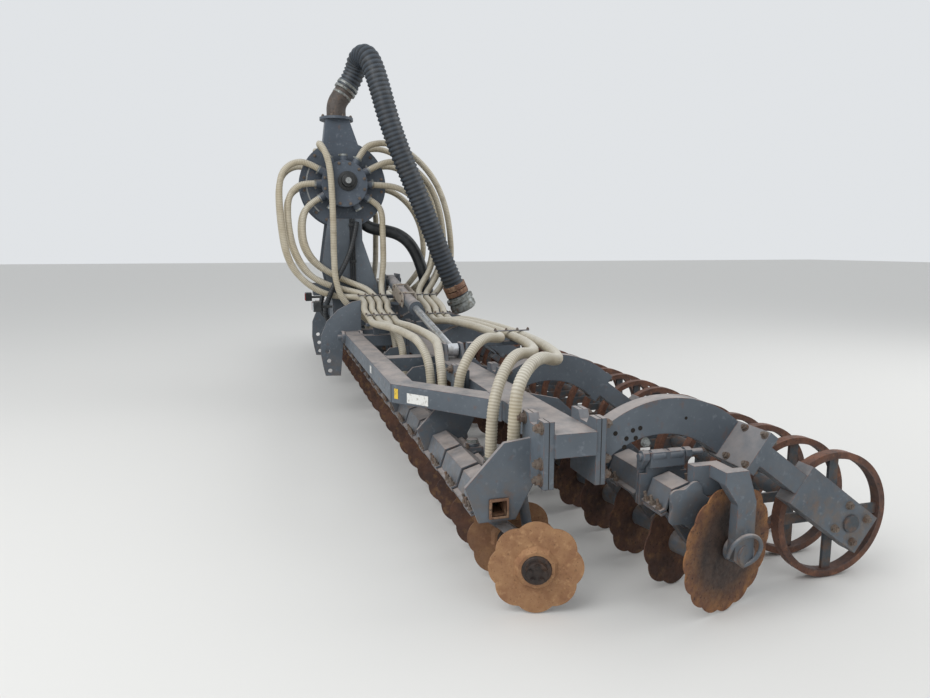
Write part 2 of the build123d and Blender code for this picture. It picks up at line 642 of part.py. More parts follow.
with BuildPart() as edge_arm:
    edge_unit()
save_mirrored(edge_arm, "right_edge_arm")
with BuildPart() as inner_leg:
    disc_leg((-105, -16), REAR_LEG_ROOT, REAR_DISC_OFFSET, REAR_HUB_Y, REAR_DISC_R, 1, -1, REAR_GANG)
with BuildPart() as left_edge_arm:
    edge_unit()
    with Locations((INNER_DISC_COVER, 0, 0)):
        add(inner_leg.part)
save(left_edge_arm, "left_edge_arm")
with BuildPart() as left_inner_disc:
    repeat(rear_disc, [INNER_DISC_COVER])
save(left_inner_disc, "left_inner_disc")
with BuildPart() as left_edge_disc:
    wavy_disc(EDGE_DISC_X, EDGE_HUB_Y, EDGE_DISC_R, 1, -1, EDGE_LOBES, EDGE_LOBE_DEPTH)
    disk(edge_plane, EDGE_SHAFT_R, DISC_THICK / 2 + 66)
save(left_edge_disc, "left_edge_disc")
save_mirrored(left_edge_disc, "right_edge_disc")

# Slurry hoses. A lane is where a hose runs along the machine: y behind the beam
TOWER_CLAMP = (490.0, 975.0)
WING_CLAMP = (900.0, 860.0)
FALL = -0.15
# Port angle, straight run out of it, lane, and the loop down to the tower's clamp
LOOPS = (
    (150, 118, -328, (
        (187, -866, 2164), (196, -957, 2088), (212, -988, 1972), (228, -992, 1840), (240, -985, 1690),
        (248, -972, 1530), (252, -945, 1370), (253, -878, 1215), (254, -765, 1100), (256, -630, 1025),
        (266, -500, 1000), (308, -392, 998),
    )),
    (180, 100, -262, (
        (188, -867, 1940), (200, -917, 1853), (215, -926, 1720), (230, -915, 1560), (242, -882, 1410),
        (250, -818, 1275), (254, -740, 1175), (255, -620, 1110), (256, -500, 1075), (262, -412, 1050),
        (302, -318, 1028),
    )),
    (210, 105, -196, (
        (192, -790, 1722), (208, -806, 1600), (226, -795, 1470), (232, -740, 1345), (232, -645, 1250),
        (230, -525, 1180), (228, -430, 1135), (230, -345, 1100), (275, -255, 1062),
    )),
    (-30, 92, -130, (
        (188, -95, 1740), (205, -98, 1600), (226, -98, 1450), (236, -100, 1300), (242, -114, 1190),
        (262, -128, 1090), (312, -130, 1025),
    )),
    (0, 120, 188, (
        (196, 60, 1968), (206, 175, 1900), (212, 275, 1790), (216, 340, 1650), (216, 372, 1490),
        (218, 370, 1340), (224, 330, 1215), (242, 265, 1125), (290, 212, 1050),
    )),
    (30, 110, 254, (
        (194, -10, 2200), (200, 105, 2190), (206, 220, 2130), (212, 325, 2020), (216, 405, 1870),
        (216, 450, 1690), (216, 470, 1500), (218, 455, 1330), (224, 410, 1190), (244, 345, 1090),
        (296, 286, 1030),
    )),
    (60, 110, 320, (
        (190, -180, 2345), (197, -50, 2360), (202, 75, 2325), (208, 200, 2250), (212, 335, 2120),
        (215, 440, 1950), (215, 505, 1750), (215, 535, 1540), (215, 545, 1330), (216, 505, 1180),
        (240, 435, 1070), (300, 362, 1010),
    )),
)
# Where each of them ends, as a cover's number counted from the wing's tip, its straight run from the wing's
# first clamp, and its way from there
WING_ROUTES = (
    (5, 150, (
        (1250, -310, 846), (1560, -272, 862), (1860, -250, 868), (2060, -238, 866),
        (2200, -215, 855), (2338, -182, 778), (2419, OUTLET_Y, 638),
    )),
    (8, 150, ((1190, -250, 845), (1325, -222, 838), (1462, -185, 763), (1543, OUTLET_Y, 625))),
    (9, 60, ((1035, -188, 838), (1169, -176, 763), (1251, OUTLET_Y, 620))),
    (4, 150, (
        (1280, -132, 850), (1560, -132, 866), (1860, -130, 874), (2150, -128, 874),
        (2350, -130, 870), (2490, -148, 858), (2630, -168, 778), (2711, OUTLET_Y, 640),
    )),
    (3, 150, (
        (1200, 215, 864), (1400, 245, 874), (1700, 272, 882), (2050, 288, 885),
        (2400, 280, 885), (2640, 200, 900), (2870, 22, 950), (2965, -95, 870), (3003, OUTLET_Y, 720),
    )),
    (1, 150, (
        (1200, 285, 864), (1400, 318, 874), (1700, 345, 882), (2050, 358, 885),
        (2400, 358, 885), (2720, 330, 885), (3000, 270, 888), (3240, 160, 905), (3408, 7, 940),
        (3522, -107, 848), (3587, OUTLET_Y, 687),
    )),
    (0, 150, (
        (1200, 355, 872), (1400, 390, 878), (1700, 415, 882), (2050, 428, 885),
        (2400, 428, 885), (2720, 405, 885), (3020, 355, 886), (3300, 280, 890), (3540, 160, 915),
        (3730, 0, 975), (3830, -120, 915), (3879, OUTLET_Y, 790),
    )),
)
LANES = [lane for _, _, lane, _ in LOOPS]


def port(angle, reach):
    """A point straight out from a distributor port, at some distance from the head's centre."""
    return PORT_X, HEAD_Y + reach * cos(radians(angle)), HEAD_Z + reach * sin(radians(angle))


def along(clamp, lane, run):
    """A point of a lane, on the slightly falling line through a clamp at (x, z)."""
    return clamp[0] + run, lane, clamp[1] + run * FALL


def tower_hoses():
    """Hoses from the left head round the tower and down to its clamp."""
    for angle, straight, lane, loop in LOOPS:
        start = [port(angle, PORT_OUT), port(angle, PORT_OUT + straight)]
        hose([*start, *loop, along(TOWER_CLAMP, lane, -102), along(TOWER_CLAMP, lane, 0)], HOSE_R)


def crossing_hoses():
    """Hoses from the tower's clamp over the hinge to the wing's first clamp."""
    for lane in LANES:
        aside = lane + (20 if lane > 0 else -20)
        route = [along(TOWER_CLAMP, lane, run) for run in (0, 120)]
        route += [(695, aside, 915)]
        route += [along(WING_CLAMP, lane, run) for run in (-110, 0)]
        hose(route, HOSE_R)


def wing_hoses():
    """Hoses from the wing's first clamp to its outlets."""
    for lane, (unit, straight, middle) in zip(LANES, WING_ROUTES):
        start = [along(WING_CLAMP, lane, run) for run in (0, straight)]
        hose([*start, *middle, (FRONT_CENTRES[unit] + OUTLET_OFFSET, OUTLET_Y, 464)], HOSE_R)


HOSE_NODES = {"tower_hoses": tower_hoses, "crossing_hoses": crossing_hoses, "wing_hoses": wing_hoses}
for name, build in HOSE_NODES.items():
    with BuildPart() as hoses:
        build()
    save(hoses, f"left_{name}")
    save_mirrored(hoses, f"right_{name}")

# Clamps that hold the hoses: a flat bar under each bundle and the bracket that carries it
with BuildPart() as left_tower_clamps:
    bar(400, 430, -360, 352, 928, 955)
    bar(TOWER_X + TOWER_THICK / 2, 400, -300, -265, 928, 955)
save(left_tower_clamps, "left_tower_clamps")
save_mirrored(left_tower_clamps, "right_tower_clamps")
with BuildPart() as left_wing_clamps:
    for x, front, rear, low in ((900, -360, -98, 800), (900, 60, 352, 800), (2400, 60, 470, 828)):
        bar(x - 25, x + 25, front, rear, low, low + 24)
    bar(875, 925, -300, -260, RAIL_TOP, 800)
    bar(875, 925, 60, 88, BEAM_TOP, 800)
    bar(2375, 2425, 60, 88, BEAM_TOP, 828)
save(left_wing_clamps, "left_wing_clamps")
save_mirrored(left_wing_clamps, "right_wing_clamps")

with BuildPart() as lamps:
    for side in (-1, 1):
        bar(side * 600 - 70, side * 600 + 70, -760, -700, 905, 985)
        bar(side * 590 - 10, side * 590 + 10, -702, -600, 930, 950)
save(lamps, "lamps")
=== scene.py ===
import json
from math import cos, pi, radians, sin

import bmesh
import bpy
from mathutils import Matrix, Vector

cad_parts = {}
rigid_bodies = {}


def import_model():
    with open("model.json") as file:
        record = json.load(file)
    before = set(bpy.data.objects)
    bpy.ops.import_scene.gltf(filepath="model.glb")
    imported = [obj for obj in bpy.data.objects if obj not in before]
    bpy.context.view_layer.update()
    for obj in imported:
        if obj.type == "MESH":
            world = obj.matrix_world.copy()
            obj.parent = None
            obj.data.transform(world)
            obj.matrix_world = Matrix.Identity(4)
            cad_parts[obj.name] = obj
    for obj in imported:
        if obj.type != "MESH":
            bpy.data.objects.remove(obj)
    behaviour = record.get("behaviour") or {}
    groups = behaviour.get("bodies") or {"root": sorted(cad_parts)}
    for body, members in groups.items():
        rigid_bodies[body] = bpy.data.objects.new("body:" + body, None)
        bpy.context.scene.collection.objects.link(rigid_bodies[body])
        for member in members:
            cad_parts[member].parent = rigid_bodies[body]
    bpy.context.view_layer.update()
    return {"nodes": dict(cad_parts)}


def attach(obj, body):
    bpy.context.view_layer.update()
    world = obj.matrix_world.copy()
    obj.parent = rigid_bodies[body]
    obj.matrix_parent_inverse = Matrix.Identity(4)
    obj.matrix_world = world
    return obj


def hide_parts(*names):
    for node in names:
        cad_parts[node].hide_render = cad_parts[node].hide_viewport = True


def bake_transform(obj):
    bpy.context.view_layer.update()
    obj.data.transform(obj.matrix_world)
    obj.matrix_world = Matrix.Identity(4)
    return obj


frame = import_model()

# Camera
# It stands off the left wing's tip, at a person's eye height, and looks along the machine as the
# photograph does.
BEAM_Y = -0.342
in_scene = bpy.context.scene.collection.objects
camera_data = bpy.data.cameras.new("camera")
camera_data.sensor_width, camera_data.lens = 36.0, 26.3
camera_data.clip_start, camera_data.clip_end = 0.05, 200.0
camera = bpy.data.objects.new("camera", camera_data)
camera.location = (6.420, BEAM_Y - 1.109, 1.438)
camera.rotation_euler = Vector((-0.9504, 0.2736, -0.1483)).to_track_quat("-Z", "Y").to_euler()
in_scene.link(camera)
bpy.context.scene.camera = camera


# Slurry hoses
# Cream PVC hoses with a hard spiral rib, 56 mm outside. Each runs from a port of a distributor head, over
# the tower's clamp and the folding hinge, along the wing under its clamps, and down to an outlet.
def colour(code):
    """Linear colour of an sRGB hex value."""
    parts = [int(code[i : i + 2], 16) / 255 for i in (1, 3, 5)]
    return [c / 12.92 if c <= 0.04045 else ((c + 0.055) / 1.055) ** 2.4 for c in parts] + [1.0]


def add_node(tree, kind, inputs=None, **settings):
    """A node with its settings. An input is a value, a socket, or a node whose first output it takes."""
    made = tree.nodes.new(kind)
    for key, value in settings.items():
        setattr(made, key, value)
    for key, value in (inputs or {}).items():
        if isinstance(value, bpy.types.Node):
            value = value.outputs[0]
        if isinstance(value, bpy.types.NodeSocket):
            tree.links.new(value, made.inputs[key])
        else:
            made.inputs[key].default_value = value
    return made


def new_material(name):
    """A material with only its shader, and the object's coordinates to draw patterns from."""
    made = bpy.data.materials.new(name)
    made.use_nodes = True
    tree = made.node_tree
    place = add_node(tree, "ShaderNodeTexCoord").outputs["Object"]
    return made, tree, tree.nodes["Principled BSDF"], place


def patches(tree, place, size, low, high, detail=5.0, stretch=(1, 1, 1)):
    """Where a finish shows, 0 to 1, in ragged patches of a size in millimetres."""
    place = add_node(tree, "ShaderNodeMapping", {"Vector": place, "Scale": stretch})
    inputs = {"Vector": place, "Scale": 1000 / size, "Detail": detail, "Roughness": 0.6}
    cloud = add_node(tree, "ShaderNodeTexNoise", inputs).outputs["Fac"]
    inputs = {"Value": cloud, "From Min": low, "From Max": high}
    return add_node(tree, "ShaderNodeMapRange", inputs)


def layer(tree, under, over, where, share=1.0):
    """One finish over another where a mask is, up to a share. A finish is a hex value or a socket."""
    under, over = (colour(x) if isinstance(x, str) else x for x in (under, over))
    amount = add_node(tree, "ShaderNodeMath", {0: where, 1: share}, operation="MULTIPLY")
    return add_node(tree, "ShaderNodeMix", {0: amount, 6: under, 7: over}, data_type="RGBA").outputs[2]


def blotched(tree, place, tint, *rows):
    """A tint with others over it, each a hex value, its share, and the patches in which it shows."""
    for over, share, *where in rows:
        tint = layer(tree, tint, over, patches(tree, place, *where), share)
    return tint


def facing_up(tree, low=0.25, high=0.95):
    """Where a face looks up enough for dust to lie on it."""
    normal = add_node(tree, "ShaderNodeTexCoord").outputs["Normal"]
    up = add_node(tree, "ShaderNodeSeparateXYZ", {0: normal}).outputs[2]
    inputs = {"Value": up, "From Min": low, "From Max": high}
    return add_node(tree, "ShaderNodeMapRange", inputs)


def grain(tree, shader, place, smooth, rough, size, depth, normal=None):
    """Roughness between two values, and bumps of a size and a depth in millimetres."""
    inputs = {"Value": patches(tree, place, size * 3, 0.3, 0.7), "To Min": smooth, "To Max": rough}
    tree.links.new(add_node(tree, "ShaderNodeMapRange", inputs).outputs[0], shader.inputs["Roughness"])
    inputs = {"Height": patches(tree, place, size, 0.2, 0.8), "Strength": 0.6, "Distance": depth / 1000}
    if normal:
        inputs["Normal"] = normal
    tree.links.new(add_node(tree, "ShaderNodeBump", inputs).outputs[0], shader.inputs["Normal"])


def spot(x, y, z):
    """A place in metres, from millimetres with y behind the beam's middle."""
    return Vector((x / 1000, BEAM_Y + y / 1000, z / 1000))


def grown(name, source, tree, values):
    """The plain mesh that a node tree makes of an object, whose own object goes."""
    in_scene.link(source)
    modifier = source.modifiers.new("grow", "NODES")
    modifier.node_group = tree
    sockets = {s.name: s.identifier for s in tree.interface.items_tree if s.in_out == "INPUT"}
    for key, value in values.items():
        modifier[sockets[key]] = value
    bpy.context.view_layer.update()
    evaluated = source.evaluated_get(bpy.context.evaluated_depsgraph_get())
    mesh = bpy.data.meshes.new_from_object(evaluated)
    bpy.data.objects.remove(source)
    made = bpy.data.objects.new(name, mesh)
    in_scene.link(made)
    return made


def grower(name, *values):
    """An empty node tree for shapes, with its named inputs."""
    made = bpy.data.node_groups.new(name, "GeometryNodeTree")
    made.interface.new_socket("Geometry", in_out="INPUT", socket_type="NodeSocketGeometry")
    made.interface.new_socket("Geometry", in_out="OUTPUT", socket_type="NodeSocketGeometry")
    for label, kind, value in values:
        socket = made.interface.new_socket(label, in_out="INPUT", socket_type=f"NodeSocket{kind}")
        if value is not None:
            socket.default_value = value
    return made, add_node(made, "NodeGroupInput").outputs


def finish_grower(tree, shape, finish):
    """Real geometry and its material, as the last steps of a node tree."""
    smooth = add_node(tree, "GeometryNodeRealizeInstances", {"Geometry": shape})
    inputs = {"Geometry": smooth, "Material": finish}
    last = add_node(tree, "GeometryNodeSetMaterial", inputs)
    add_node(tree, "NodeGroupOutput", {"Geometry": last})


def ribbed(name, base, faded, dirt, groove_shade_tint, dust, depth):
    """A hose wall: faded in patches, dusty on top, with painted shade in the grooves between its ribs."""
    made, tree, shader, place = new_material(name)
    tint = blotched(tree, place, base, (faded, 1.0, 300, 0.35, 0.65), (dirt, 0.6, 70, 0.5, 0.72, 6.0))
    tint = layer(tree, tint, dust, facing_up(tree, 0.1, 0.9), 0.5)
    groove = add_node(tree, "ShaderNodeAttribute", attribute_name="groove").outputs["Fac"]
    # Painted shade: the groove rings take a darker tint, up to a share.
    tree.links.new(layer(tree, tint, groove_shade_tint, groove, depth), shader.inputs["Base Color"])
    grain(tree, shader, place, 0.42, 0.62, 12, 0.4)
    return made


# Soft PVC: cream with a dull sheen, yellowed and greyed by dirt in patches, with painted shade in its grooves
hose_pvc = ribbed("soft_pvc_cream", "#c6bfad", "#b5aa92", "#897e6c", "#786c56", "#d6d5cf", 0.6)
tube_tree, start = grower(
    "ribbed_tube", ("Pitch", "Float", 0.014), ("Radius", "Float", 0.028), ("Groove depth", "Float", 0.002),
    ("Sides", "Int", 12), ("Finish", "Material", None),
)
half = add_node(tube_tree, "ShaderNodeMath", {0: start["Pitch"], 1: 0.5}, operation="MULTIPLY")
inputs = {"Curve": start["Geometry"], "Length": half}
line = add_node(tube_tree, "GeometryNodeResampleCurve", inputs, mode="LENGTH")
count = add_node(tube_tree, "GeometryNodeInputIndex")
low = add_node(tube_tree, "ShaderNodeMath", {0: count, 1: 2.0}, operation="MODULO")
inputs = {0: low, 1: start["Groove depth"]}
cut = add_node(tube_tree, "ShaderNodeMath", inputs, operation="MULTIPLY")
reach = add_node(tube_tree, "ShaderNodeMath", {0: start["Radius"], 1: cut}, operation="SUBTRACT")
inputs = {"Geometry": line, "Name": "groove", "Value": low}
marked = add_node(tube_tree, "GeometryNodeStoreNamedAttribute", inputs, data_type="FLOAT", domain="POINT")
ring = add_node(tube_tree, "GeometryNodeCurvePrimitiveCircle", {"Resolution": start["Sides"], "Radius": 1.0})
inputs = {"Curve": marked, "Profile Curve": ring, "Scale": reach, "Fill Caps": True}
wall = add_node(tube_tree, "GeometryNodeCurveToMesh", inputs)
wall = add_node(tube_tree, "GeometryNodeSetShadeSmooth", {"Geometry": wall})
finish_grower(tube_tree, wall, start["Finish"])


def tube_piece(name, route, side, pitch, radius, depth, sides, finish):
    """A tube on a smooth curve that a route's points control, and the path that it takes."""
    data = bpy.data.curves.new(name, "CURVE")
    data.dimensions, data.resolution_u = "3D", 10
    spline = data.splines.new("NURBS")
    spline.points.add(len(route) - 1)
    for control, (x, y, z) in zip(spline.points, route):
        control.co = (*spot(side * x, y, z), 1.0)
    spline.order_u = 3
    spline.use_endpoint_u = True
    source = bpy.data.objects.new(name, data)
    path = [tuple(v.co) for v in bpy.data.meshes.new_from_object(source).vertices]
    values = {"Pitch": pitch, "Radius": radius, "Groove depth": depth, "Sides": sides, "Finish": finish}
    return grown(name, source, tube_tree, values), path


HOSE_R = 0.028
# The real rib comes every 10 mm. It is drawn every 14 mm, so that it shows in the render.
RIB_PITCH, RIB_DEPTH, HOSE_SIDES = 0.014, 0.0022, 12
# The distributor heads' axis as y and z, the ports' x, and how far from the axis a port ends
HEAD_Y, HEAD_Z, PORT_X, PORT_OUT = -430.0, 1990.0, 185.0, 250.0
OUTLET_OFFSET, OUTLET_Y, OUTLET_Z = 92.0, -172.0, 464
# The middles of the front covers along a wing, from its tip
FRONT_COVERS = [3787 - 292 * n for n in range(11)]
# Port angle, straight run out of it, lane, and the loop down to the tower's clamp
LOOPS = (
    (150, 118, -328, (
        (187, -866, 2164), (196, -957, 2088), (212, -988, 1972), (228, -992, 1840), (240, -985, 1690),
        (248, -972, 1530), (252, -945, 1370), (253, -878, 1215), (254, -765, 1100), (256, -630, 1025),
        (266, -500, 1000), (308, -392, 998),
    )),
    (180, 100, -262, (
        (188, -867, 1940), (200, -917, 1853), (215, -926, 1720), (230, -915, 1560), (242, -882, 1410),
        (250, -818, 1275), (254, -740, 1175), (255, -620, 1110), (256, -500, 1075), (262, -412, 1050),
        (302, -318, 1028),
    )),
    (210, 105, -196, (
        (192, -790, 1722), (208, -806, 1600), (226, -795, 1470), (232, -740, 1345), (232, -645, 1250),
        (230, -525, 1180), (228, -430, 1135), (230, -345, 1100), (275, -255, 1062),
    )),
    (-30, 92, -130, (
        (188, -95, 1740), (205, -98, 1600), (226, -98, 1450), (236, -100, 1300), (242, -114, 1190),
        (262, -128, 1090), (312, -130, 1025),
    )),
    (0, 120, 188, (
        (196, 60, 1968), (206, 175, 1900), (212, 275, 1790), (216, 340, 1650), (216, 372, 1490),
        (218, 370, 1340), (224, 330, 1215), (242, 265, 1125), (290, 212, 1050),
    )),
    (30, 110, 254, (
        (194, -10, 2200), (200, 105, 2190), (206, 220, 2130), (212, 325, 2020), (216, 405, 1870),
        (216, 450, 1690), (216, 470, 1500), (218, 455, 1330), (224, 410, 1190), (244, 345, 1090),
        (296, 286, 1030),
    )),
    (60, 110, 320, (
        (190, -180, 2345), (197, -50, 2360), (202, 75, 2325), (208, 200, 2250), (212, 335, 2120),
        (215, 440, 1950), (215, 505, 1750), (215, 535, 1540), (215, 545, 1330), (216, 505, 1180),
        (240, 435, 1070), (300, 362, 1010),
    )),
)
# The outlet's cover, counted from the wing's tip, the straight run from the wing's clamp, and the way there
WING_ROUTES = (
    (5, 150, (
        (1250, -310, 846), (1560, -272, 862), (1860, -250, 868), (2060, -238, 866),
        (2200, -215, 855), (2338, -182, 778), (2419, OUTLET_Y, 638),
    )),
    (8, 150, ((1190, -250, 845), (1325, -222, 838), (1462, -185, 763), (1543, OUTLET_Y, 625))),
    (9, 60, ((1035, -188, 838), (1169, -176, 763), (1251, OUTLET_Y, 620))),
    (4, 150, (
        (1280, -132, 850), (1560, -132, 866), (1860, -130, 874), (2150, -128, 874),
        (2350, -130, 870), (2490, -148, 858), (2630, -168, 778), (2711, OUTLET_Y, 640),
    )),
    (3, 150, (
        (1200, 215, 864), (1400, 245, 874), (1700, 272, 882), (2050, 288, 885),
        (2400, 280, 885), (2640, 200, 900), (2870, 22, 950), (2965, -95, 870), (3003, OUTLET_Y, 720),
    )),
    (1, 150, (
        (1200, 285, 864), (1400, 318, 874), (1700, 345, 882), (2050, 358, 885),
        (2400, 358, 885), (2720, 330, 885), (3000, 270, 888), (3240, 160, 905), (3408, 7, 940),
        (3522, -107, 848), (3587, OUTLET_Y, 687),
    )),
    (0, 150, (
        (1200, 355, 872), (1400, 390, 878), (1700, 415, 882), (2050, 428, 885),
        (2400, 428, 885), (2720, 405, 885), (3020, 355, 886), (3300, 280, 890), (3540, 160, 915),
        (3730, 0, 975), (3830, -120, 915), (3879, OUTLET_Y, 790),
    )),
)

def port(angle, reach):
    """A point straight out from a distributor port."""
    return PORT_X, HEAD_Y + reach * cos(radians(angle)), HEAD_Z + reach * sin(radians(angle))


# Each side's sign in x, and its name
SIDES = ((1, "left"), (-1, "right"))
for side, body in SIDES:
    for number, ((angle, out, lane, loop), (unit, run, middle)) in enumerate(zip(LOOPS, WING_ROUTES), 1):
        aside = lane + (20 if lane > 0 else -20)
        route = [
            port(angle, PORT_OUT), port(angle, PORT_OUT + out), *loop, (388, lane, 990.3), (490, lane, 975),
            (610, lane, 957), (695, aside, 915), (790, lane, 876.5), (900, lane, 860),
            (900 + run, lane, 860 - 0.15 * run), *middle,
            (FRONT_COVERS[unit] + OUTLET_OFFSET, OUTLET_Y, OUTLET_Z),
        ]
        name = f"{body}_slurry_hose_{number}"
        made, path = tube_piece(name, route, side, RIB_PITCH, HOSE_R, RIB_DEPTH, HOSE_SIDES, hose_pvc)
        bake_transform(made)
        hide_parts(f"{body}_tower_hoses", f"{body}_crossing_hoses", f"{body}_wing_hoses")
    # The hose to the centre section's outer outlet hangs straight down beside the head
    route = [
        port(120, PORT_OUT), port(120, PORT_OUT + 70), (205, -640, 2310), (258, -640, 2330),
        (300, -590, 2240), (305, -555, 2090), (305, -545, 1700), (312, -550, 1330), (330, -540, 1120),
        (328, -480, 965), (304, -345, 850), (262, -225, 750), (238, OUTLET_Y, 620), (238, OUTLET_Y, OUTLET_Z),
    ]
    name = f"{body}_centre_hose"
    made, path = tube_piece(name, route, side, RIB_PITCH, HOSE_R, RIB_DEPTH, HOSE_SIDES, hose_pvc)
    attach(made, "centre")

# Feed hose
# A 190 mm black rubber suction hose with a steel spiral, clamped to the distributor's steel elbow. It comes
# down beside the tower to the coupling where the tanker's slurry enters.
# Black rubber, with painted shade, near black, in the grooves of its spiral
suction_rubber = ribbed("suction_hose_rubber", "#343c45", "#434c56", "#56524d", "#0d0f11", "#56616c", 1.0)
FEED_ROUTE = (
    (0, -385, 2820), (0, -305, 2940), (60, -265, 3095), (225, -205, 3095), (300, -140, 2900),
    (370, -30, 2430), (385, 250, 1760), (360, 460, 1240), (345, 575, 1000),
)
SPIRAL_PITCH, FEED_R, SPIRAL_DEPTH = 0.038, 0.097, 0.013
made, _ = tube_piece(
    "feed_hose_ribbed", FEED_ROUTE, 1, SPIRAL_PITCH, FEED_R, SPIRAL_DEPTH, sides=32, finish=suction_rubber,
)
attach(made, "centre")
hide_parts("feed_hose")

# Painted steelwork
# Welded box section and plate, powder coated slate grey. Dust lies on top, mud splashes up from the soil,
# and the coat has chipped to rust along the edges.
def worn_edges(tree, place, radius):
    """A rounded normal, and where the coat has worn off an edge."""
    rounded = add_node(tree, "ShaderNodeBevel", {"Radius": radius}, samples=4)
    true = add_node(tree, "ShaderNodeNewGeometry").outputs["Normal"]
    flat = add_node(tree, "ShaderNodeVectorMath", {0: rounded, 1: true}, operation="DOT_PRODUCT")
    inputs = {"Value": flat.outputs["Value"], "From Min": 0.99, "From Max": 0.86}
    edge = add_node(tree, "ShaderNodeMapRange", inputs)
    inputs = {0: edge, 1: patches(tree, place, 28, 0.42, 0.6)}
    return rounded, add_node(tree, "ShaderNodeMath", inputs, operation="MULTIPLY")


def painted(name, base, faded, dust, chips):
    """A powder coat with fading, scratches, settled dust, splashed mud and chipped edges."""
    made, tree, shader, place = new_material(name)
    tint = blotched(
        tree, place, base, (faded, 1.0, 400, 0.35, 0.65),
        ("#7d848c", 0.35, 25, 0.6, 0.72, 2.0, (0.15, 1, 1)), ("#6a4e40", 0.45, 60, 0.6, 0.7, 8.0),
    )
    tint = layer(tree, tint, "#a49b95", facing_up(tree, 0.3, 1.0), dust * 0.45)
    inputs = {0: facing_up(tree), 1: patches(tree, place, 110, 0.32, 0.62)}
    lying = add_node(tree, "ShaderNodeMath", inputs, operation="MULTIPLY")
    tint = layer(tree, tint, "#a89d97", lying, dust)
    height = add_node(tree, "ShaderNodeSeparateXYZ", {0: place}).outputs[2]
    inputs = {"Value": height, "From Min": 0.62, "From Max": 0.2}
    low = add_node(tree, "ShaderNodeMapRange", inputs)
    inputs = {0: low, 1: patches(tree, place, 45, 0.42, 0.66, 6.0)}
    splash = add_node(tree, "ShaderNodeMath", inputs, operation="MULTIPLY")
    tint = layer(tree, tint, "#6e5c4a", splash, 0.75)
    rounded, edge = worn_edges(tree, place, 0.006)
    tree.links.new(layer(tree, tint, "#7a4b33", edge, chips), shader.inputs["Base Color"])
    grain(tree, shader, place, 0.4, 0.62, 8, 0.12, rounded)
    return made


def finish_nodes(material, *names):
    """A CAD part keeps its shape and takes a finish."""
    for name in names:
        node = frame["nodes"][name]
        node.data.materials.clear()
        node.data.materials.append(material)
        for face in node.data.polygons:
            face.material_index = 0


# Slate powder coat: a cool, dull grey that the dust turns pinkish on every top face
slate = painted("powder_coat_slate", "#4c545c", "#5e666e", 0.75, 0.8)
STEELWORK = ("_frame", "_gang", "_arms", "_barrel", "_clamps", "edge_arm")
finish_nodes(slate, *(n for n in frame["nodes"] if n.endswith(STEELWORK)), "hitch_plates", "tower")
# The distributor is darker, because nothing scrapes it and rain washes it
dark_slate = painted("powder_coat_dark", "#404954", "#4f5863", 0.3, 0.25)
finish_nodes(dark_slate, "distributor_housing", "distributor_heads")


# Discs
# Hardened steel discs with worn waves in the rim and a pressed dome. They rust within days of work, soil
# dries on them in blotches, and the cutting edge stays darker.
def mottled(name, base, rows, smooth, rough, size, depth, metal=0.0):
    """A finish of one tint with others over it in patches, and a grain of a size and depth in mm."""
    made, tree, shader, place = new_material(name)
    tree.links.new(blotched(tree, place, base, *rows), shader.inputs["Base Color"])
    shader.inputs["Metallic"].default_value = metal
    grain(tree, shader, place, smooth, rough, size, depth)
    return made


def rusted(name, old, new, pale, pit, rough=0.8):
    """Bare steel in four tints of rust, with its scale and pits in relief."""
    rows = (
        (new, 1.0, 120, 0.36, 0.64, 6.0), (pale, 0.7, 45, 0.52, 0.7, 8.0), (pit, 0.85, 16, 0.54, 0.68, 8.0),
    )
    return mottled(name, old, rows, rough - 0.2, rough + 0.1, 6, 0.8, 0.2)


def near_rim(tree, place, middle, across, inner, outer):
    """Where a piece is near its rim, by its distance from a middle, counted on some of the axes."""
    flat = add_node(tree, "ShaderNodeMapping", {"Vector": place, "Location": -middle})
    flat = add_node(tree, "ShaderNodeVectorMath", {0: flat, 1: across}, operation="MULTIPLY")
    reach = add_node(tree, "ShaderNodeVectorMath", {0: flat}, operation="LENGTH").outputs["Value"]
    inputs = {"Value": reach, "From Min": inner, "From Max": outer}
    return add_node(tree, "ShaderNodeMapRange", inputs)


# Rusted disc steel: dark chocolate brown with ochre blotches, no shine
disc_steel = rusted("rusted_disc_steel", "#43302a", "#5f4132", "#80603f", "#2a201d")
finish_nodes(disc_steel, *(n for n in frame["nodes"] if n.endswith(("_discs", "_disc"))))
# The left wing's outermost front disc has been washed and has rusted afresh, so it is tan; further in they
# are as dark as the rest
fresh_disc, tree, shader, place = new_material("freshly_rusted_disc_steel")
tan = blotched(
    tree, place, "#8a6346", ("#a07a57", 1.0, 70, 0.35, 0.65, 6.0), ("#b9926a", 0.6, 25, 0.55, 0.7, 8.0),
    ("#4a3428", 0.8, 9, 0.6, 0.72, 8.0),
)
old = blotched(
    tree, place, "#43302a", ("#5f4132", 1.0, 120, 0.36, 0.64, 6.0), ("#80603f", 0.7, 45, 0.52, 0.7, 8.0),
)
outward = add_node(tree, "ShaderNodeSeparateXYZ", {0: place})
inputs = {"Value": outward, "From Min": 3.6, "From Max": 3.9}
outermost = add_node(tree, "ShaderNodeMapRange", inputs)
tree.links.new(layer(tree, old, tan, outermost), shader.inputs["Base Color"])
shader.inputs["Metallic"].default_value = 0.15
grain(tree, shader, place, 0.6, 0.9, 6, 0.8)
finish_nodes(fresh_disc, "left_front_discs")
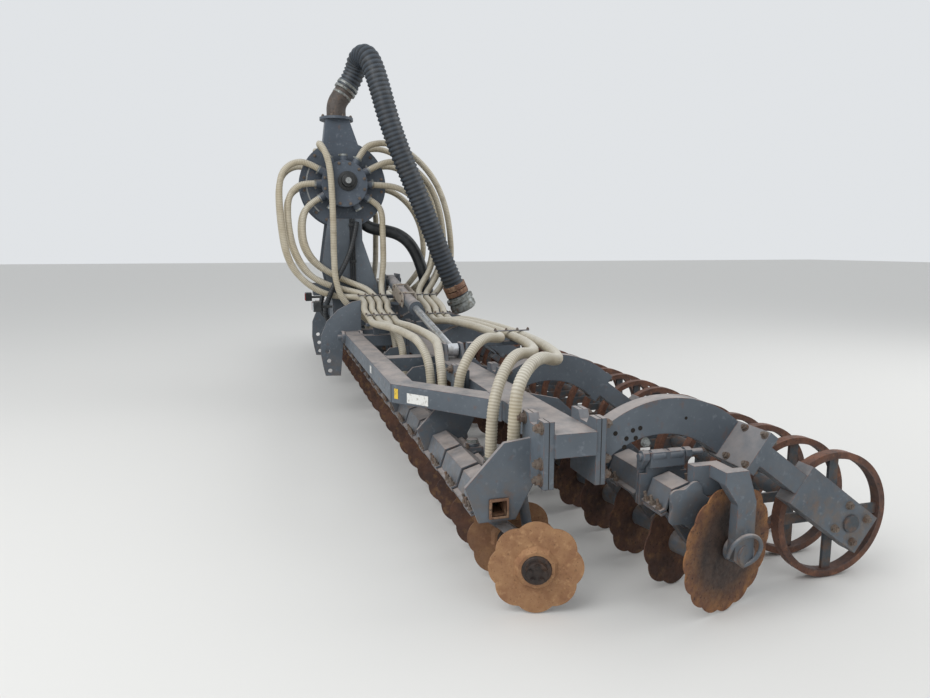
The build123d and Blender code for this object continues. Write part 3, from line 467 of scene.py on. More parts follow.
# The edge discs are orange round their toothed rims and dark in the middle, where soil wets them
for side, body in SIDES:
    edge_steel, tree, shader, place = new_material(f"rim_rusted_steel_{body}")
    rim = near_rim(tree, place, spot(side * 4268, 592, 265), (1, 1, 1), 0.15, 0.26)
    inside = blotched(tree, place, "#2f2724", ("#4a3a32", 1.0, 60, 0.36, 0.64, 6.0))
    outside = blotched(tree, place, "#6b4733", ("#94683f", 1.0, 45, 0.4, 0.66, 8.0))
    tint = layer(tree, inside, outside, rim)
    tint = blotched(tree, place, tint, ("#241c1a", 0.8, 14, 0.56, 0.68, 8.0))
    tree.links.new(tint, shader.inputs["Base Color"])
    shader.inputs["Metallic"].default_value = 0.2
    grain(tree, shader, place, 0.55, 0.85, 6, 0.8)
    finish_nodes(edge_steel, f"{body}_edge_disc")

# Ring roller
# Rolled steel rings that run on the soil. Their rims are bare and rusted, and the spokes and axle inside
# keep most of their paint.
ring_steel, tree, shader, place = new_material("rusted_ring_steel")
rust = blotched(
    tree, place, "#4a3229", ("#6d4734", 1.0, 90, 0.35, 0.65, 6.0), ("#8c5f43", 0.6, 30, 0.56, 0.7, 8.0),
    ("#2c2220", 0.8, 14, 0.55, 0.68, 8.0),
)
paint = blotched(tree, place, "#41474c", ("#5d4a3f", 1.0, 50, 0.45, 0.64, 8.0))
rim = near_rim(tree, place, spot(0, 1211, 283), (0, 1, 1), 0.236, 0.262)
tree.links.new(layer(tree, paint, rust, rim), shader.inputs["Base Color"])
grain(tree, shader, place, 0.5, 0.8, 7, 0.5)
finish_nodes(ring_steel, "centre_roller", "left_roller", "right_roller")

# Rubber cords, cylinder rods, coupling, elbow and lamps
# The cords spring the arms inside their covers. The rods are ground and plated, the coupling is hot dip
# galvanised, the elbow is cast, and the lamp housings are moulded.
# Solid rubber: near black, greyed by soil, with no gloss
rubber = mottled("solid_rubber", "#17191a", [("#34302c", 1.0, 60, 0.4, 0.62)], 0.7, 0.9, 12, 0.5)
finish_nodes(rubber, "centre_rubbers", "left_rubbers", "right_rubbers")
# Hard chrome: a mirror, dulled by an oily film
chrome = mottled("hard_chrome", "#dadde0", [("#a9a7a2", 1.0, 60, 0.5, 0.7)], 0.24, 0.38, 80, 0.02, 0.85)
finish_nodes(chrome, "left_cylinder_rod", "right_cylinder_rod")
# Galvanised steel: pale grey in cloudy patches, with brown where the zinc has gone
rows = ("#73756f", 1.0, 35, 0.4, 0.6, 6.0), ("#6b4f3c", 0.8, 80, 0.55, 0.68, 8.0)
zinc = mottled("galvanised_steel", "#979b9a", rows, 0.4, 0.65, 7, 0.2, 0.6)
finish_nodes(zinc, "feed_coupling")
# Bare cast steel: evenly brown with rust
cast_steel = rusted("rusted_cast_steel", "#57504b", "#4b4440", "#6f5a4a", "#332c29", 0.65)
finish_nodes(cast_steel, "inlet_elbow")
# Moulded ABS: black with a fine even grain
plastic = mottled("moulded_abs_black", "#1c1e20", [("#2f3030", 1.0, 50, 0.4, 0.6)], 0.4, 0.55, 3, 0.1)
finish_nodes(plastic, "lamps")

# Cover nuts
# Each arm's clamp hangs from its cover on six M12 studs. Their nuts and washers were zinc plated, and have
# gone dull and brown. The beam's flanges, the axle boxes and the outlets are bolted with larger ones.
bolt_tree, start = grower("nuts_on_studs", ("Finish", "Material", None))
toward, thread, stand = (
    add_node(bolt_tree, "GeometryNodeInputNamedAttribute", {0: label}, data_type=kind)
    for label, kind in (("axis", "FLOAT_VECTOR"), ("thread", "FLOAT"), ("stand", "FLOAT"))
)
# Sizes in thread widths, as on a real hexagon nut and its washer
NUT_R, NUT_HEIGHT, WASHER_R, WASHER_HEIGHT = 0.92, 0.85, 1.2, 0.2
parts = []
for sides, radius, low, high in (
    (6, NUT_R, WASHER_HEIGHT, WASHER_HEIGHT + NUT_HEIGHT), (10, WASHER_R, 0.0, WASHER_HEIGHT),
    (8, 0.5, 0.0, 1.0),
):
    inputs = {"Vertices": sides, "Radius": radius, "Depth": high - low}
    solid = add_node(bolt_tree, "GeometryNodeMeshCylinder", inputs)
    inputs = {"Geometry": solid, "Translation": (0, 0, (low + high) / 2)}
    parts.append(add_node(bolt_tree, "GeometryNodeTransform", inputs))
nut, washer, stud = parts
joined = add_node(bolt_tree, "GeometryNodeJoinGeometry")
for solid in (nut, washer):
    bolt_tree.links.new(solid.outputs[0], joined.inputs[0])
upright = add_node(bolt_tree, "FunctionNodeAlignRotationToVector", {"Vector": toward}, axis="Z")
inputs = {2: 0.0, 3: 2 * pi, "Seed": 7}
angle = add_node(bolt_tree, "FunctionNodeRandomValue", inputs, data_type="FLOAT").outputs[1]
spin = add_node(bolt_tree, "FunctionNodeAxisAngleToRotation", {"Axis": (0, 0, 1), "Angle": angle})
inputs = {"Rotation": upright, "Rotate By": spin}
turned = add_node(bolt_tree, "FunctionNodeRotateRotation", inputs, rotation_space="LOCAL")
evenly = add_node(bolt_tree, "ShaderNodeCombineXYZ", {0: thread, 1: thread, 2: thread})
longer = add_node(bolt_tree, "ShaderNodeCombineXYZ", {0: thread, 1: thread, 2: stand})
both = add_node(bolt_tree, "GeometryNodeJoinGeometry")
for solid, scale in ((joined, evenly), (stud, longer)):
    inputs = {"Points": start["Geometry"], "Instance": solid, "Rotation": turned, "Scale": scale}
    placed = add_node(bolt_tree, "GeometryNodeInstanceOnPoints", inputs)
    bolt_tree.links.new(placed.outputs[0], both.inputs[0])
finish_grower(bolt_tree, both, start["Finish"])
# Zinc gone dull: grey brown, with darker rust in the corners
dull_zinc = rusted("dull_zinc_plate", "#5d5149", "#776d63", "#78553e", "#3a2c25", 0.65)


def bolted(name, body, places, finish=dull_zinc):
    """Nuts on studs, each at a place, along an axis, of a thread, standing out; all sizes in millimetres."""
    mesh = bpy.data.meshes.new(name)
    mesh.from_pydata([spot(*place) for place, _, _, _ in places], [], [])
    axes = mesh.attributes.new("axis", "FLOAT_VECTOR", "POINT")
    axes.data.foreach_set("vector", [value for _, axis, _, _ in places for value in axis])
    for label, column in (("thread", 2), ("stand", 3)):
        sizes = mesh.attributes.new(label, "FLOAT", "POINT")
        sizes.data.foreach_set("value", [place[column] / 1000 for place in places])
    made = grown(name, bpy.data.objects.new(name, mesh), bolt_tree, {"Finish": finish})
    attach(made, body)


LEAN = radians(17)
# Each gang tube's middle, as y and z, and the nuts' places on a cover's flanges beside and above it
FRONT_GANG, REAR_GANG = (-262, 405), (410, 452)
FLANGE_OUT, FLANGE_UP = 97, 12
UP_COVER = (0, -sin(LEAN), cos(LEAN))


def cover_nuts(gang, centres, ways):
    """Six nuts on the flanges of each cover along a gang tube."""
    y, z = gang
    flanges = [
        (y + u * cos(LEAN) - FLANGE_UP * sin(LEAN), z + u * sin(LEAN) + FLANGE_UP * cos(LEAN))
        for u in (-FLANGE_OUT, FLANGE_OUT)
    ]
    return [((x + way, *flange), UP_COVER, 13, 38) for x in centres for way in ways for flange in flanges]


FRONT_WAYS, REAR_WAYS = (33, 73, 113), (-33, -73, -113)
CENTRE_COVERS = (-438, -146, 146, 438)
REAR_PITCH = 302
REAR_COVERS = [3899 - REAR_PITCH * n for n in range(11)]
bolted("centre_cover_nuts", "centre", [
    *cover_nuts(FRONT_GANG, CENTRE_COVERS, FRONT_WAYS), *cover_nuts(REAR_GANG, CENTRE_COVERS, REAR_WAYS),
])
for side, body in SIDES:
    fronts, rears = ([side * x for x in row] for row in (FRONT_COVERS, REAR_COVERS))
    bolted(f"{body}_cover_nuts", f"{body}_wing", [
        *cover_nuts(FRONT_GANG, fronts, FRONT_WAYS), *cover_nuts(REAR_GANG, rears, REAR_WAYS),
    ])
    edge = cover_nuts(REAR_GANG, [side * 4161], (-45, 0, 45))
    bolted(f"{body}_edge_cover_nuts", f"{body}_edge_arm", edge)


# Outlet flanges
# Steel flanges hold the slurry outlets behind the front covers, on two bolts each. A short spigot stands
# on each flange, and a hose or a cap is clamped on it.
def prism(shape, outline, along):
    """A flat outline carried along a vector."""
    low = [shape.verts.new(p) for p in outline]
    high = [shape.verts.new(Vector(p) + along) for p in outline]
    shape.faces.new(low)
    shape.faces.new(high)
    for n in range(len(low)):
        shape.faces.new((low[n - 1], low[n], high[n], high[n - 1]))


def block(shape, x0, x1, y0, y1, z0, z1):
    """A box between two corners, in millimetres with y behind the beam."""
    outline = [spot(x0, y0, z0), spot(x1, y0, z0), spot(x1, y1, z0), spot(x0, y1, z0)]
    prism(shape, outline, Vector((0, 0, (z1 - z0) / 1000)))


def round_bar(shape, start, end, radius, sides=20, end_radius=None):
    """A round bar or cone between two points, its radii in metres."""
    along = end - start
    turn = along.to_track_quat("Z", "Y").to_matrix().to_4x4()
    bmesh.ops.create_cone(
        shape, cap_ends=True, segments=sides, radius1=radius, radius2=end_radius or radius,
        depth=along.length, matrix=Matrix.Translation((start + end) / 2) @ turn,
    )


def ring_round(shape, place, axis, radius, width, sides=24):
    """A band round a hose or pipe, centred at a place."""
    along = Vector(axis).normalized() * width / 2
    round_bar(shape, spot(*place) - along, spot(*place) + along, radius, sides)


def piece(name, shape, body, finish, edge=0.0015):
    """A shape as an object of its own, its sharp edges rounded, that rides on a body."""
    bmesh.ops.recalc_face_normals(shape, faces=shape.faces)
    if edge:
        sharp = [e for e in shape.edges if e.is_manifold and e.calc_face_angle(0) > radians(30)]
        bmesh.ops.bevel(
            shape, geom=sharp, offset=edge, segments=2, profile=0.5, affect="EDGES", clamp_overlap=True
        )
    mesh = bpy.data.meshes.new(name)
    shape.to_mesh(mesh)
    shape.free()
    mesh.materials.append(finish)
    mesh.shade_smooth()
    mesh.set_sharp_from_angle(angle=radians(32))
    made = bpy.data.objects.new(name, mesh)
    in_scene.link(made)
    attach(made, body)


UP = (0, 0, 1)
COLLAR_TOP, CLIP_Z, SPIGOT_TOP = 482, 492, 500
# The left wing's outlets that have a hose, from the tip; the others have a free spigot
HOSED = (0, 1, 3, 4, 5, 8, 9)
for body, ride_on, outlets in (
    ("left", "left_wing", [(x + OUTLET_OFFSET, n in HOSED) for n, x in enumerate(FRONT_COVERS)]),
    ("right", "right_wing", [(OUTLET_OFFSET - x, False) for x in FRONT_COVERS]),
    ("centre", "centre", [(x + OUTLET_OFFSET, False) for x in CENTRE_COVERS]),
):
    bolted(f"{body}_outlet_bolts", ride_on, [
        ((x + a, OUTLET_Y + b, OUTLET_Z), UP, 11, 22) for x, _ in outlets for a, b in ((27, -34), (-27, 34))
    ])
    spigots, clips = bmesh.new(), bmesh.new()
    for x, hosed in outlets:
        round_bar(spigots, spot(x, OUTLET_Y, OUTLET_Z), spot(x, OUTLET_Y, COLLAR_TOP), 0.034, 24)
        if not hosed:
            round_bar(spigots, spot(x, OUTLET_Y, COLLAR_TOP), spot(x, OUTLET_Y, SPIGOT_TOP), 0.027)
        ring_round(clips, (x, OUTLET_Y, CLIP_Z), UP, 0.0315 if hosed else 0.0285, 0.014)
        block(clips, x + 26, x + 42, OUTLET_Y - 8, OUTLET_Y + 8, 486, 498)
    piece(f"{body}_outlet_spigots", spigots, ride_on, slate)
    piece(f"{body}_outlet_clips", clips, ride_on, zinc, 0.0)

# Port clips
# Worm drive clips of zinc plated strip, one round each hose where it is pushed on its port. The housing of
# the worm stands out at one side.
for side, body in SIDES:
    clips = bmesh.new()
    for angle in range(-60, 270, 30):
        x, y, z = port(angle, PORT_OUT + 1)
        out = (0, cos(radians(angle)), sin(radians(angle)))
        ring_round(clips, (side * x, y, z), out, 0.0365, 0.016)
        worm = spot(side * x, y, z) + Vector((0, -out[2], out[1])) * 0.04 - Vector((0.011, 0, 0))
        round_bar(clips, worm, worm + Vector((0.022, 0, 0)), 0.007, 8)
    piece(f"{body}_port_clips", clips, "centre", zinc, 0.0)

# Clamp straps
# Flat steel straps hold the hoses down on the tower's and the wings' clamp bars, with a bolt at each end
# and between the hoses.
for side, body in SIDES:
    # Each strap's limits in x, y and z, and the y of its bolts
    for name, ride_on, straps in (
        (f"{body}_tower_straps", "centre", (
            (402, 428, -362, 354, 1015, 1021, (-355, -295, -229, -163, 29, 221, 287, 348)),
        )),
        (f"{body}_wing_straps", f"{body}_wing", (
            (887, 913, -362, -98, 889, 895, (-356, -295, -229, -163, -103)),
            (887, 913, 148, 354, 889, 895, (154, 221, 287, 348)),
            (2387, 2413, 240, 470, 914, 920, (246, 319, 393, 464)),
        )),
    ):
        shape, places = bmesh.new(), []
        for x0, x1, y0, y1, z0, z1, bolts in straps:
            block(shape, *sorted((side * x0, side * x1)), y0, y1, z0, z1)
            places += [((side * (x0 + x1) / 2, y, z1), UP, 9, 14) for y in bolts]
        piece(name, shape, ride_on, slate, 0.001)
        bolted(f"{name}_bolts", ride_on, places)

# Disc hubs
# Each disc turns on a sealed hub that is bolted through its domed centre. The hub's cap shows in the dome,
# with five bolts round it. Grease and soil keep it dark.
# Greasy cast iron: nearly black brown, with a low sheen
hub_iron = rusted("greasy_cast_iron", "#2b2523", "#3d302a", "#5a4232", "#1c1817", 0.6)
DISC_YAW = radians(17)
# A disc's middle, as its x from the cover's middle, its y and its z
FRONT_DISC, REAR_DISC = (290, -143, 190), (-186, 525, 195)


def hub_caps(name, body, covers, disc, facing):
    """Caps over the domes of the discs under a row of covers, facing left or right."""
    shape, places = bmesh.new(), []
    normal = Vector((facing * cos(DISC_YAW), -sin(DISC_YAW), 0))
    aside = Vector((-normal.y, normal.x, 0))
    for x in covers:
        here = spot(x + disc[0], *disc[1:])
        round_bar(shape, here + normal * 0.022, here + normal * 0.034, 0.062, 28, 0.056)
        round_bar(shape, here + normal * 0.034, here + normal * 0.052, 0.044, 24, 0.041)
        for n in range(5):
            a = 2 * pi * (n + 0.25) / 5
            place = here + normal * 0.052 + (aside * cos(a) + Vector((0, 0, sin(a)))) * 0.030
            places.append(((place.x * 1000, (place.y - BEAM_Y) * 1000, place.z * 1000), normal, 10, 12))
    piece(name, shape, body, hub_iron, 0.0012)
    bolted(f"{name}_bolts", body, places, hub_iron)


for name, body, fronts, rears in (
    ("centre", "centre", CENTRE_COVERS, CENTRE_COVERS), ("left", "left_wing", FRONT_COVERS, REAR_COVERS),
    ("right", "right_wing", [-x for x in FRONT_COVERS], [-x for x in REAR_COVERS[1:]]),
):
    hub_caps(f"{name}_front_hubs", body, fronts, FRONT_DISC, 1)
    hub_caps(f"{name}_rear_hubs", body, rears, REAR_DISC, -1)
hub_caps("left_inner_hub", "left_edge_arm", [REAR_COVERS[0] + REAR_PITCH], REAR_DISC, -1)

# Beam flanges and roller arms
# The roller arms hang on plates that are bolted round the beam with M24 bolts. Each arm has a bolted joint
# behind its curve, and a box with the roller's bearing bolted in its end.
ALONG_ARM, ACROSS_ARM = Vector((0, 0.806, -0.592)), Vector((0, 0.592, 0.806))
ARM_JOINT_Y, ARM_JOINT_Z = 745, 625
# The beam flanges' faces, and their bolts' heights and distance aside; the bearing's bolts on the arm's end
FLANGE_FRONT, FLANGE_BACK, FLANGE_ROWS, FLANGE_ASIDE = -129, 134, (545, 610, 752), 88
BEARING_BOLTS = ((518, -58), (518, 58), (638, -58), (638, 58))
# Each arm's middle on the beam, and its two sides at the roller
WING_ARMS = ((3985, 3970, 4245), (2837.5, 2797.5, 2877.5), (1192.5, 1152.5, 1232.5))
ARM_ROWS = (
    ("left", "left_wing", WING_ARMS), ("right", "right_wing", [[-x for x in arm] for arm in WING_ARMS]),
    ("centre", "centre", ((-352.5, -397.5, -307.5), (352.5, 307.5, 397.5))),
)


def arm_place(x, along, across):
    """A place on an arm's straight end, in millimetres from its joint along the arm and across it."""
    at = ALONG_ARM * along + ACROSS_ARM * across
    return x, ARM_JOINT_Y + at.y, ARM_JOINT_Z + at.z


for body, ride_on, arms in ARM_ROWS:
    places = []
    for x, *ends in arms:
        low, high = sorted(ends)
        for z in FLANGE_ROWS:
            for aside in (-FLANGE_ASIDE, FLANGE_ASIDE):
                places.append(((x + aside, FLANGE_FRONT, z), (0, -1, 0), 22, 34))
                places.append(((x + aside, FLANGE_BACK, z), (0, 1, 0), 22, 34))
        for across in (-70, 70):
            for at in (low + 20, (low + high) / 2, high - 20):
                places.append((arm_place(at, -22, across), -ALONG_ARM, 14, 22))
                places.append((arm_place(at, 22, across), ALONG_ARM, 14, 22))
        outer, way = (high + 2, 1) if x > 0 else (low - 2, -1)
        for along, across in BEARING_BOLTS:
            places.append((arm_place(outer, along, across), (way, 0, 0), 16, 22))
    bolted(f"{body}_arm_bolts", ride_on, places)

# Spare holes
# Each outer arm has a row of drilled holes for other roller positions, and one long zinc bolt in them. Their
# bores are drawn as near black plugs of painted shade.
# Painted shade: matt, almost black, put in each hole for the shade of its bore; the flange joints use it too
hole_shade_and_joint_dark = mottled("hole_shade_and_joint_dark", "#14110e", [("#2a221b", 1.0, 6, 0.4, 0.65)], 0.85, 1.0, 2, 0.5)
for side, body in SIDES:
    shape = bmesh.new()
    for y, z, radius in (
        (242, 640, 0.01), (278, 707, 0.01), (311, 714, 0.01), (292, 674, 0.01), (522, 741, 0.007),
        (250, 675, 0.01), (200, 700, 0.01),
    ):
        round_bar(shape, spot(side * 4044, y, z), spot(side * 4050.6, y, z), radius)
    piece(f"{body}_arm_holes", shape, f"{body}_wing", hole_shade_and_joint_dark, 0.0)
    bolted(f"{body}_arm_pin", f"{body}_wing", [((side * 4050, 335, 654), (side, 0, 0), 17, 24)], zinc)

# Gang tube ends
# The front gang's square tube is sawn off and left bare. Its end has rusted, and so has its inside.
# Mill scale under rust: warm brown with paler, dusty patches
raw_end = rusted("rusted_mill_scale", "#6b4d3d", "#8b6a52", "#a58a70", "#3f2e27", 0.75)
for side, body in SIDES:
    shape = bmesh.new()
    y, z = FRONT_GANG
    # The sawn lip, and the tube's four walls seen from inside
    for start_x, walls in (
        (3966, ((-41, -30, -41, 41), (30, 41, -41, 41), (-30, 30, -41, -30), (-30, 30, 30, 41))),
        (3860, ((-32, -30, -30, 30), (30, 32, -30, 30), (-30, 30, -32, -30), (-30, 30, 30, 32))),
    ):
        for y0, y1, z0, z1 in walls:
            block(shape, *sorted((side * start_x, side * 3975)), y + y0, y + y1, z + z0, z + z1)
    piece(f"{body}_tube_end", shape, f"{body}_wing", raw_end, 0.0008)

# Edge units
# The outer discs swing up on a hinge with a long pin. Knuckles of round bar are welded to both halves, a
# cast cap with five lobes closes the cover, and a bent bow guards the disc's bearing.
HINGE_X, HINGE_Z, LOBES = 4085, 606, 5
BOW = (
    (4340, 536, 262), (4356, 532, 300), (4372, 552, 345), (4374, 598, 362), (4374, 646, 345),
    (4372, 664, 300), (4360, 640, 240), (4345, 604, 222),
)
for side, body in SIDES:
    wing, unit = f"{body}_wing", f"{body}_edge_arm"
    for ride_on, ends in ((wing, ((299, 328), (492, 521))), (unit, ((340, 400), (420, 480)))):
        shape = bmesh.new()
        for y0, y1 in ends:
            round_bar(
                shape, spot(side * HINGE_X, y0, HINGE_Z), spot(side * HINGE_X, y1, HINGE_Z), 0.0245, 24
            )
        piece(f"{ride_on}_knuckles", shape, ride_on, slate)
    shape, outline = bmesh.new(), []
    for n in range(80):
        a = 2 * pi * n / 80
        reach = 0.088 + 0.013 * cos(LOBES * a)
        outline.append(spot(side * 4252, *REAR_GANG) + Vector((0, reach * cos(a), reach * sin(a))))
    prism(shape, outline, Vector((side * 0.012, 0, 0)))
    piece(f"{body}_end_cap", shape, unit, slate, 0.002)
    made, _ = tube_piece(
        f"{body}_bearing_bow", BOW, side, pitch=0.02, radius=0.008, depth=0.0, sides=10, finish=slate
    )
    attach(made, unit)

# Distributor fittings
# The housing's two plates are bolted together round their rim, and the cutter's motor is bolted in the
# middle of each head. A flange on eight bolts carries the inlet elbow, and steel bands hold the hose.
# Bare machined steel: pale grey with a soft shine
rows = ("#8b8d8c", 1.0, 12, 0.4, 0.6), ("#6e5a4a", 0.6, 20, 0.6, 0.7)
machined = mottled("machined_steel", "#a3a5a4", rows, 0.3, 0.5, 4, 0.05, 0.7)


def round_head(count, radius):
    """Bolt places spaced round the heads' axis, as y and z."""
    turns = [2 * pi * (n + 0.5) / count for n in range(count)]
    return [(HEAD_Y + radius * cos(a), HEAD_Z + radius * sin(a)) for a in turns]


# The inlet's neck takes the place of the top bolts
rim = [(y, z) for y, z in round_head(20, 347) if z < 2290]
places = [
    ((way * x, y, z), (way, 0, 0), 12, 16)
    for x, ring in ((120, rim), (250, round_head(12, 178))) for y, z in ring for way in (1, -1)
]
for n in range(8):
    a = 2 * pi * (n + 0.5) / 8
    places.append(((132 * cos(a), -465 + 132 * sin(a), 2584), UP, 14, 20))
bolted("distributor_bolts", "centre", places)
MOTOR = (-406, 2013)
shape = bmesh.new()
for side in (-1, 1):
    for low, high, *form in ((250, 262, 0.085, 32), (262, 306, 0.058, 28, 0.054), (306, 318, 0.036, 24)):
        round_bar(shape, spot(side * low, *MOTOR), spot(side * high, *MOTOR), *form)
piece("cutter_motors", shape, "centre", plastic)
shape = bmesh.new()
for side in (-1, 1):
    round_bar(shape, spot(side * 316, *MOTOR), spot(side * 322, *MOTOR), 0.026, 24)
    # The slot in the housing's plate shows the bare edge of the head behind it
    for n in range(12):
        a, b = (radians(155 + 6 * (n + k)) for k in (0, 1))
        corners = ((318, a), (318, b), (330, b), (330, a))
        outline = [spot(side * 119, HEAD_Y + r * cos(t), HEAD_Z + r * sin(t)) for r, t in corners]
        prism(shape, outline, Vector((side * 0.0025, 0, 0)))
piece("motor_caps", shape, "centre", machined, 0.0)
# Bands round the elbow and the hose
UP_FEED = Vector((0, 0.555, 0.832))
shape = bmesh.new()
for along, radius in ((-46, 0.0885), (6, 0.101), (48, 0.101)):
    middle = Vector(FEED_ROUTE[0]) + UP_FEED * along
    ring_round(shape, middle, UP_FEED, radius, 0.022, 36)
    lug = spot(*middle) + Vector((radius + 0.004, 0, 0))
    round_bar(shape, lug - UP_FEED * 0.002, lug + UP_FEED * 0.002 + Vector((0, -0.03, 0.02)), 0.008, 10)
piece("elbow_bands", shape, "centre", zinc, 0.001)

# Feed hose's lower end
# Two broad straps, brown with rust, hold the suction hose on its galvanised coupling. The coupling's rings
# are pressed on behind its lever.
down, end = Vector((-0.0563, 0.4314, -0.9004)), Vector(FEED_ROUTE[-1])
shape = bmesh.new()
for low, high in ((-112, -66), (-58, -12)):
    round_bar(shape, spot(*(end + down * low)), spot(*(end + down * high)), 0.106, 40)
    for at_lug in (low + 12, high - 12):
        lug = spot(*(end + down * at_lug)) + Vector((0.104, -0.01, 0))
        round_bar(shape, lug, lug + Vector((0.022, -0.012, 0)), 0.009, 10)
piece("feed_hose_straps", shape, "centre", raw_end, 0.001)
shape = bmesh.new()
for low, high, radius, last in ((50, 90, 0.108, 0.118), (130, 146, 0.104, 0.104)):
    round_bar(shape, spot(*(end + down * low)), spot(*(end + down * high)), radius, 40, last)
piece("feed_coupling_rings", shape, "centre", zinc, 0.0015)

# Hydraulic hoses and pipes
# A pair of oil hoses in a black plastic spiral guard hangs in front of the tower on each side, from the
# tower's plate to the rail. Steel pipes run straight down the plate, clipped to it.
# Black plastic, with painted shade in the grooves of its spiral
guard = ribbed("spiral_guard_plastic", "#23272b", "#2f3438", "#453f3a", "#101214", "#4a4b4b", 0.85)
GUARD_PITCH, GUARD_R, GUARD_DEPTH = 0.024, 0.024, 0.004
for side, body in SIDES:
    route = [
        (205, -330, 1660), (222, -350, 1560), (245, -390, 1420), (285, -450, 1290), (312, -530, 1160),
        (315, -590, 1030), (300, -625, 930), (290, -640, 850), (275, -600, 770), (265, -520, 750),
    ]
    made, path = tube_piece(
        f"{body}_oil_hose", route, side, GUARD_PITCH, GUARD_R, GUARD_DEPTH, sides=14, finish=guard
    )
    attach(made, "centre")
    shape, clips = bmesh.new(), bmesh.new()
    for y in (-352, -370, -388):
        round_bar(shape, spot(side * 197, y, 1690), spot(side * 197, y, 745), 0.0065, 12)
    for z in (1620, 1300, 980, 790):
        block(clips, *sorted((side * 188, side * 206)), -400, -340, z, z + 26)
    piece(f"{body}_oil_pipes", shape, "centre", plastic, 0.0)
    piece(f"{body}_pipe_clips", clips, "centre", plastic, 0.002)

# Stone trap sleeve
# A smooth, thick rubber hose leads from the bottom of the distributor over the beam and down to the rear
# covers. It is 110 mm outside, and heavy enough to sag between its ends.
# Wet smooth rubber: black, with painted reflections as broad soft lighter patches, and dried mud
rows = ("#2d3134", 1.0, 150, 0.4, 0.6), ("#57504a", 0.6, 40, 0.58, 0.7, 8.0)
sleeve_rubber = mottled("smooth_sleeve_rubber", "#1b1e21", rows, 0.22, 0.5, 40, 0.6)
SLEEVE_R = 0.055
route = [
    (30, -290, 1700), (32, -235, 1640), (40, -150, 1602), (48, -40, 1590), (56, 70, 1560), (62, 170, 1490),
    (68, 245, 1370), (74, 300, 1210), (80, 342, 1040), (85, 372, 870), (88, 388, 700), (90, 392, 552),
]
made, path = tube_piece(
    "stone_sleeve", route, 1, pitch=0.02, radius=SLEEVE_R, depth=0.0, sides=24, finish=sleeve_rubber
)
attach(made, "centre")

# Folding cylinders' guards
# Two steel plates stand beside each cylinder's barrel, bolted through, and lock it for the road. Their
# cream primer shows under the dust.
# Cream primer: pale grey brown under dust and rust
primer = rusted("dusty_cream_primer", "#8d857b", "#a39b90", "#7a5a45", "#5d5249", 0.7)
BARREL_EYE = Vector((60, 0, 1130))
BARREL_ALONG = Vector((2208, 0, -340)).normalized()
BARREL_UP = Vector((-BARREL_ALONG.z, 0, BARREL_ALONG.x))
OUTLINE = [(380, -34), (380, 34), (450, 60), (825, 60)]
OUTLINE += [(830 + 60 * sin(pi * n / 12), 60 * cos(pi * n / 12)) for n in range(13)]
OUTLINE += [(460, -60)]


def beside_barrel(side, along, up):
    """The x and z of a place in millimetres along a cylinder and above its middle."""
    at = BARREL_EYE + BARREL_ALONG * along + BARREL_UP * up
    return side * at.x, at.z


for side, body in SIDES:
    shape, places = bmesh.new(), []
    for y0, y1, face, way in ((-58, -51, -58, -1), (51, 58, 58, 1)):
        corners = []
        for corner in OUTLINE:
            x, z = beside_barrel(side, *corner)
            corners.append(spot(x, y0, z))
        prism(shape, corners, Vector((0, (y1 - y0) / 1000, 0)))
        for bolt in ((420, 0), (500, 48), (500, -48), (780, 48), (780, -48), (855, 0)):
            x, z = beside_barrel(side, *bolt)
            places.append(((x, face, z), (0, way, 0), 10, 12))
    for along in (470, 800):
        x, z = beside_barrel(side, along, 57)
        round_bar(shape, spot(x, -56, z), spot(x, 56, z), 0.007, 12)
    piece(f"{body}_cylinder_guard", shape, f"{body}_barrel", primer, 0.0015)
    bolted(f"{body}_guard_bolts", f"{body}_barrel", places)

# Labels
# Blank vinyl labels, white on the rail and yellow beside its bend. Hoses and dust have scuffed them.
SLANT, OUT_OF_SLANT = Vector((0.785, 0.619, 0)), Vector((0.619, -0.785, 0))
LEVEL, OUT_OF_LEVEL = Vector((1, 0, 0)), Vector((0, -1, 0))
for name, pale, scuffed, labels in (
    ("white", "#dcdcd8", "#a9a59d", (
        (Vector((3033, -446, 0)), SLANT, OUT_OF_SLANT, 140, 640, 692),
        (Vector((2182, -515, 0)), LEVEL, OUT_OF_LEVEL, 60, 655, 700),
    )),
    ("yellow", "#d9b63a", "#9b8440", ((Vector((2965, -500, 0)), SLANT, OUT_OF_SLANT, 26, 652, 706),)),
):
    rows = (scuffed, 1.0, 18, 0.52, 0.68, 6.0), ("#6f6457", 0.7, 6, 0.62, 0.7)
    vinyl = mottled(f"{name}_vinyl", pale, rows, 0.3, 0.5, 3, 0.03)
    for side, body in SIDES:
        shape = bmesh.new()
        for origin, along, out, width, low, high in labels:
            first, second = origin + out * 0.3, origin + out * 0.3 + along * width
            corners = [(first, low), (second, low), (second, high), (first, high)]
            way = Vector((side * out.x, out.y, 0)) * 0.0008
            prism(shape, [spot(side * p.x, p.y, z) for p, z in corners], way)
        piece(f"{body}_{name}_labels", shape, f"{body}_wing", vinyl, 0.0)

# Lamps
# Clear moulded lenses close the black lamp housings, red towards the middle as on road lamps.
# Moulded PMMA: glossy, clear over a ribbed pale back
for name, pale, deep, x0, x1 in (
    ("clear_lens", "#c9ced1", "#9aa0a4", 0, 66), ("red_lens", "#9a1f1c", "#6d1513", -66, -2),
):
    rows = (deep, 1.0, 8, 0.4, 0.6, 2.0, (1, 1, 0.2)), ("#6f6457", 0.5, 25, 0.6, 0.72)
    lens = mottled(f"{name}_pmma", pale, rows, 0.12, 0.25, 5, 0.1)
    shape = bmesh.new()
    for side in (-1, 1):
        block(shape, *sorted((side * (600 + x0), side * (600 + x1))), -768, -758, 911, 979)
    piece(f"{name}es", shape, "centre", lens, 0.003)

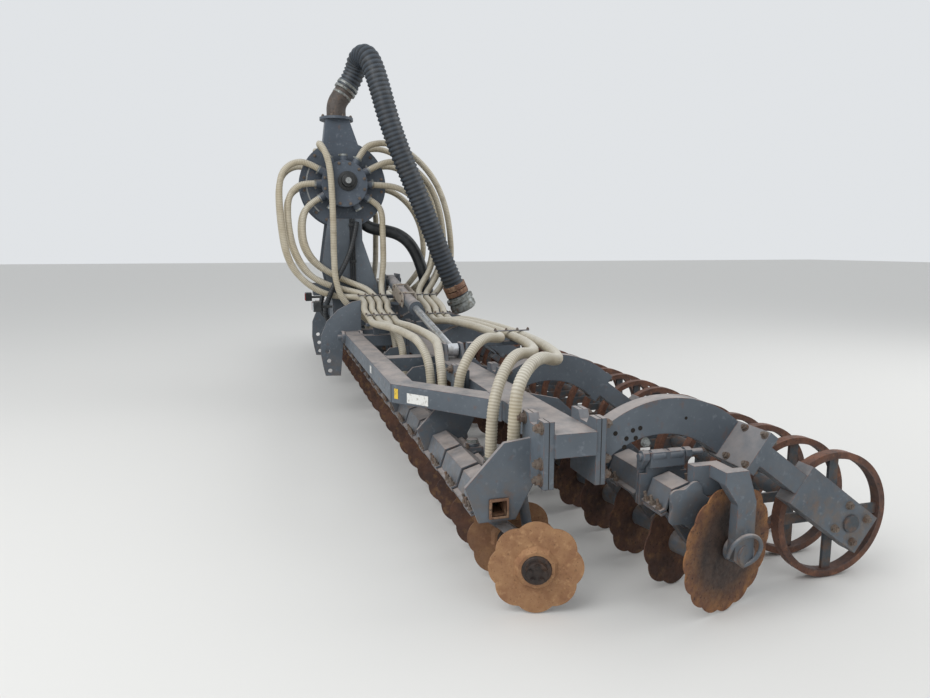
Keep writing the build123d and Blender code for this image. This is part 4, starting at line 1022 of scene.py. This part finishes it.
# Weld beads and flange joints
# Arms, cross members and gussets are welded to the beam and the rails, with beads 8 mm wide under the
# paint. The two plates of each beam flange leave a dark joint between them.
for side, body in SIDES:
    lines = []
    for x in (4010, 2837.5, 1192.5):
        lines += [((x + a, 134, 568), (x + a, 134, 716)) for a in (-40, 40)]
        lines.append(((x - 40, 134, 718), (x + 40, 134, 718)))
    for x0, x1 in ((850, 950), (2010, 2130)):
        lines += [((x0, y, 640), (x0, y, 728), (x1, y, 728), (x1, y, 640)) for y in (-389, -86)]
    lines += [((3268, -86, 728), (3490, -86, 728), (3490, -86, 630)), ((2945, -515, 630), (2945, -515, 728))]
    lines += [((2178, y, 732), (2358, y, 732)) for y in (-64, -44, 44, 64)]
    data = bpy.data.curves.new("beads", "CURVE")
    data.dimensions = "3D"
    for points in lines:
        spline = data.splines.new("POLY")
        spline.points.add(len(points) - 1)
        for control, (x, y, z) in zip(spline.points, points):
            control.co = (*spot(side * x, y, z), 1.0)
    values = {"Pitch": 0.008, "Radius": 0.0045, "Groove depth": 0.0012, "Sides": 8, "Finish": slate}
    made = grown(f"{body}_weld_beads", bpy.data.objects.new("beads", data), tube_tree, values)
    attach(made, f"{body}_wing")
for body, ride_on, arms in ARM_ROWS:
    shape = bmesh.new()
    for x, _, _ in arms:
        for y in (-107, 112):
            for a in (-115.6, 114.4):
                block(shape, x + a, x + a + 1.2, y - 1.5, y + 1.5, 513, 779)
            for a in (-114, 51):
                block(shape, x + a, x + a + 63, y - 1.5, y + 1.5, 779.4, 780.6)
    piece(f"{body}_flange_joints", shape, ride_on, hole_shade_and_joint_dark, 0.0)

# Studio
# A plain pale floor, a white world and two soft lamps.
floor_mesh = bpy.data.meshes.new("floor")
corners = [(x, y, -0.004) for x, y in ((-60, -60), (60, -60), (60, 60), (-60, 60))]
floor_mesh.from_pydata(corners, [], [(0, 1, 2, 3)])
floor = bpy.data.objects.new("floor", floor_mesh)
in_scene.link(floor)
floor_finish, _, shader, _ = new_material("pale_floor")
shader.inputs["Base Color"].default_value = colour("#d6d5d2")
shader.inputs["Roughness"].default_value = 0.9
floor_mesh.materials.append(floor_finish)
world = bpy.data.worlds.new("studio")
world.use_nodes = True
bpy.context.scene.world = world
background = world.node_tree.nodes["Background"]
background.inputs["Color"].default_value = colour("#eef1f4")
background.inputs["Strength"].default_value = 0.88
for name, place, target, power in (
    ("key", (6.0, -6.0, 7.0), (2.0, 0.0, 0.5), 430.0), ("fill", (3.0, 7.0, 6.0), (1.0, 0.0, 0.8), 230.0),
):
    data = bpy.data.lights.new(name, "AREA")
    data.energy, data.size = power, 6.0
    lamp = bpy.data.objects.new(name, data)
    lamp.location = place
    lamp.rotation_euler = (Vector(target) - Vector(place)).to_track_quat("-Z", "Y").to_euler()
    in_scene.link(lamp)
bpy.context.scene.view_settings.view_transform = "Standard"
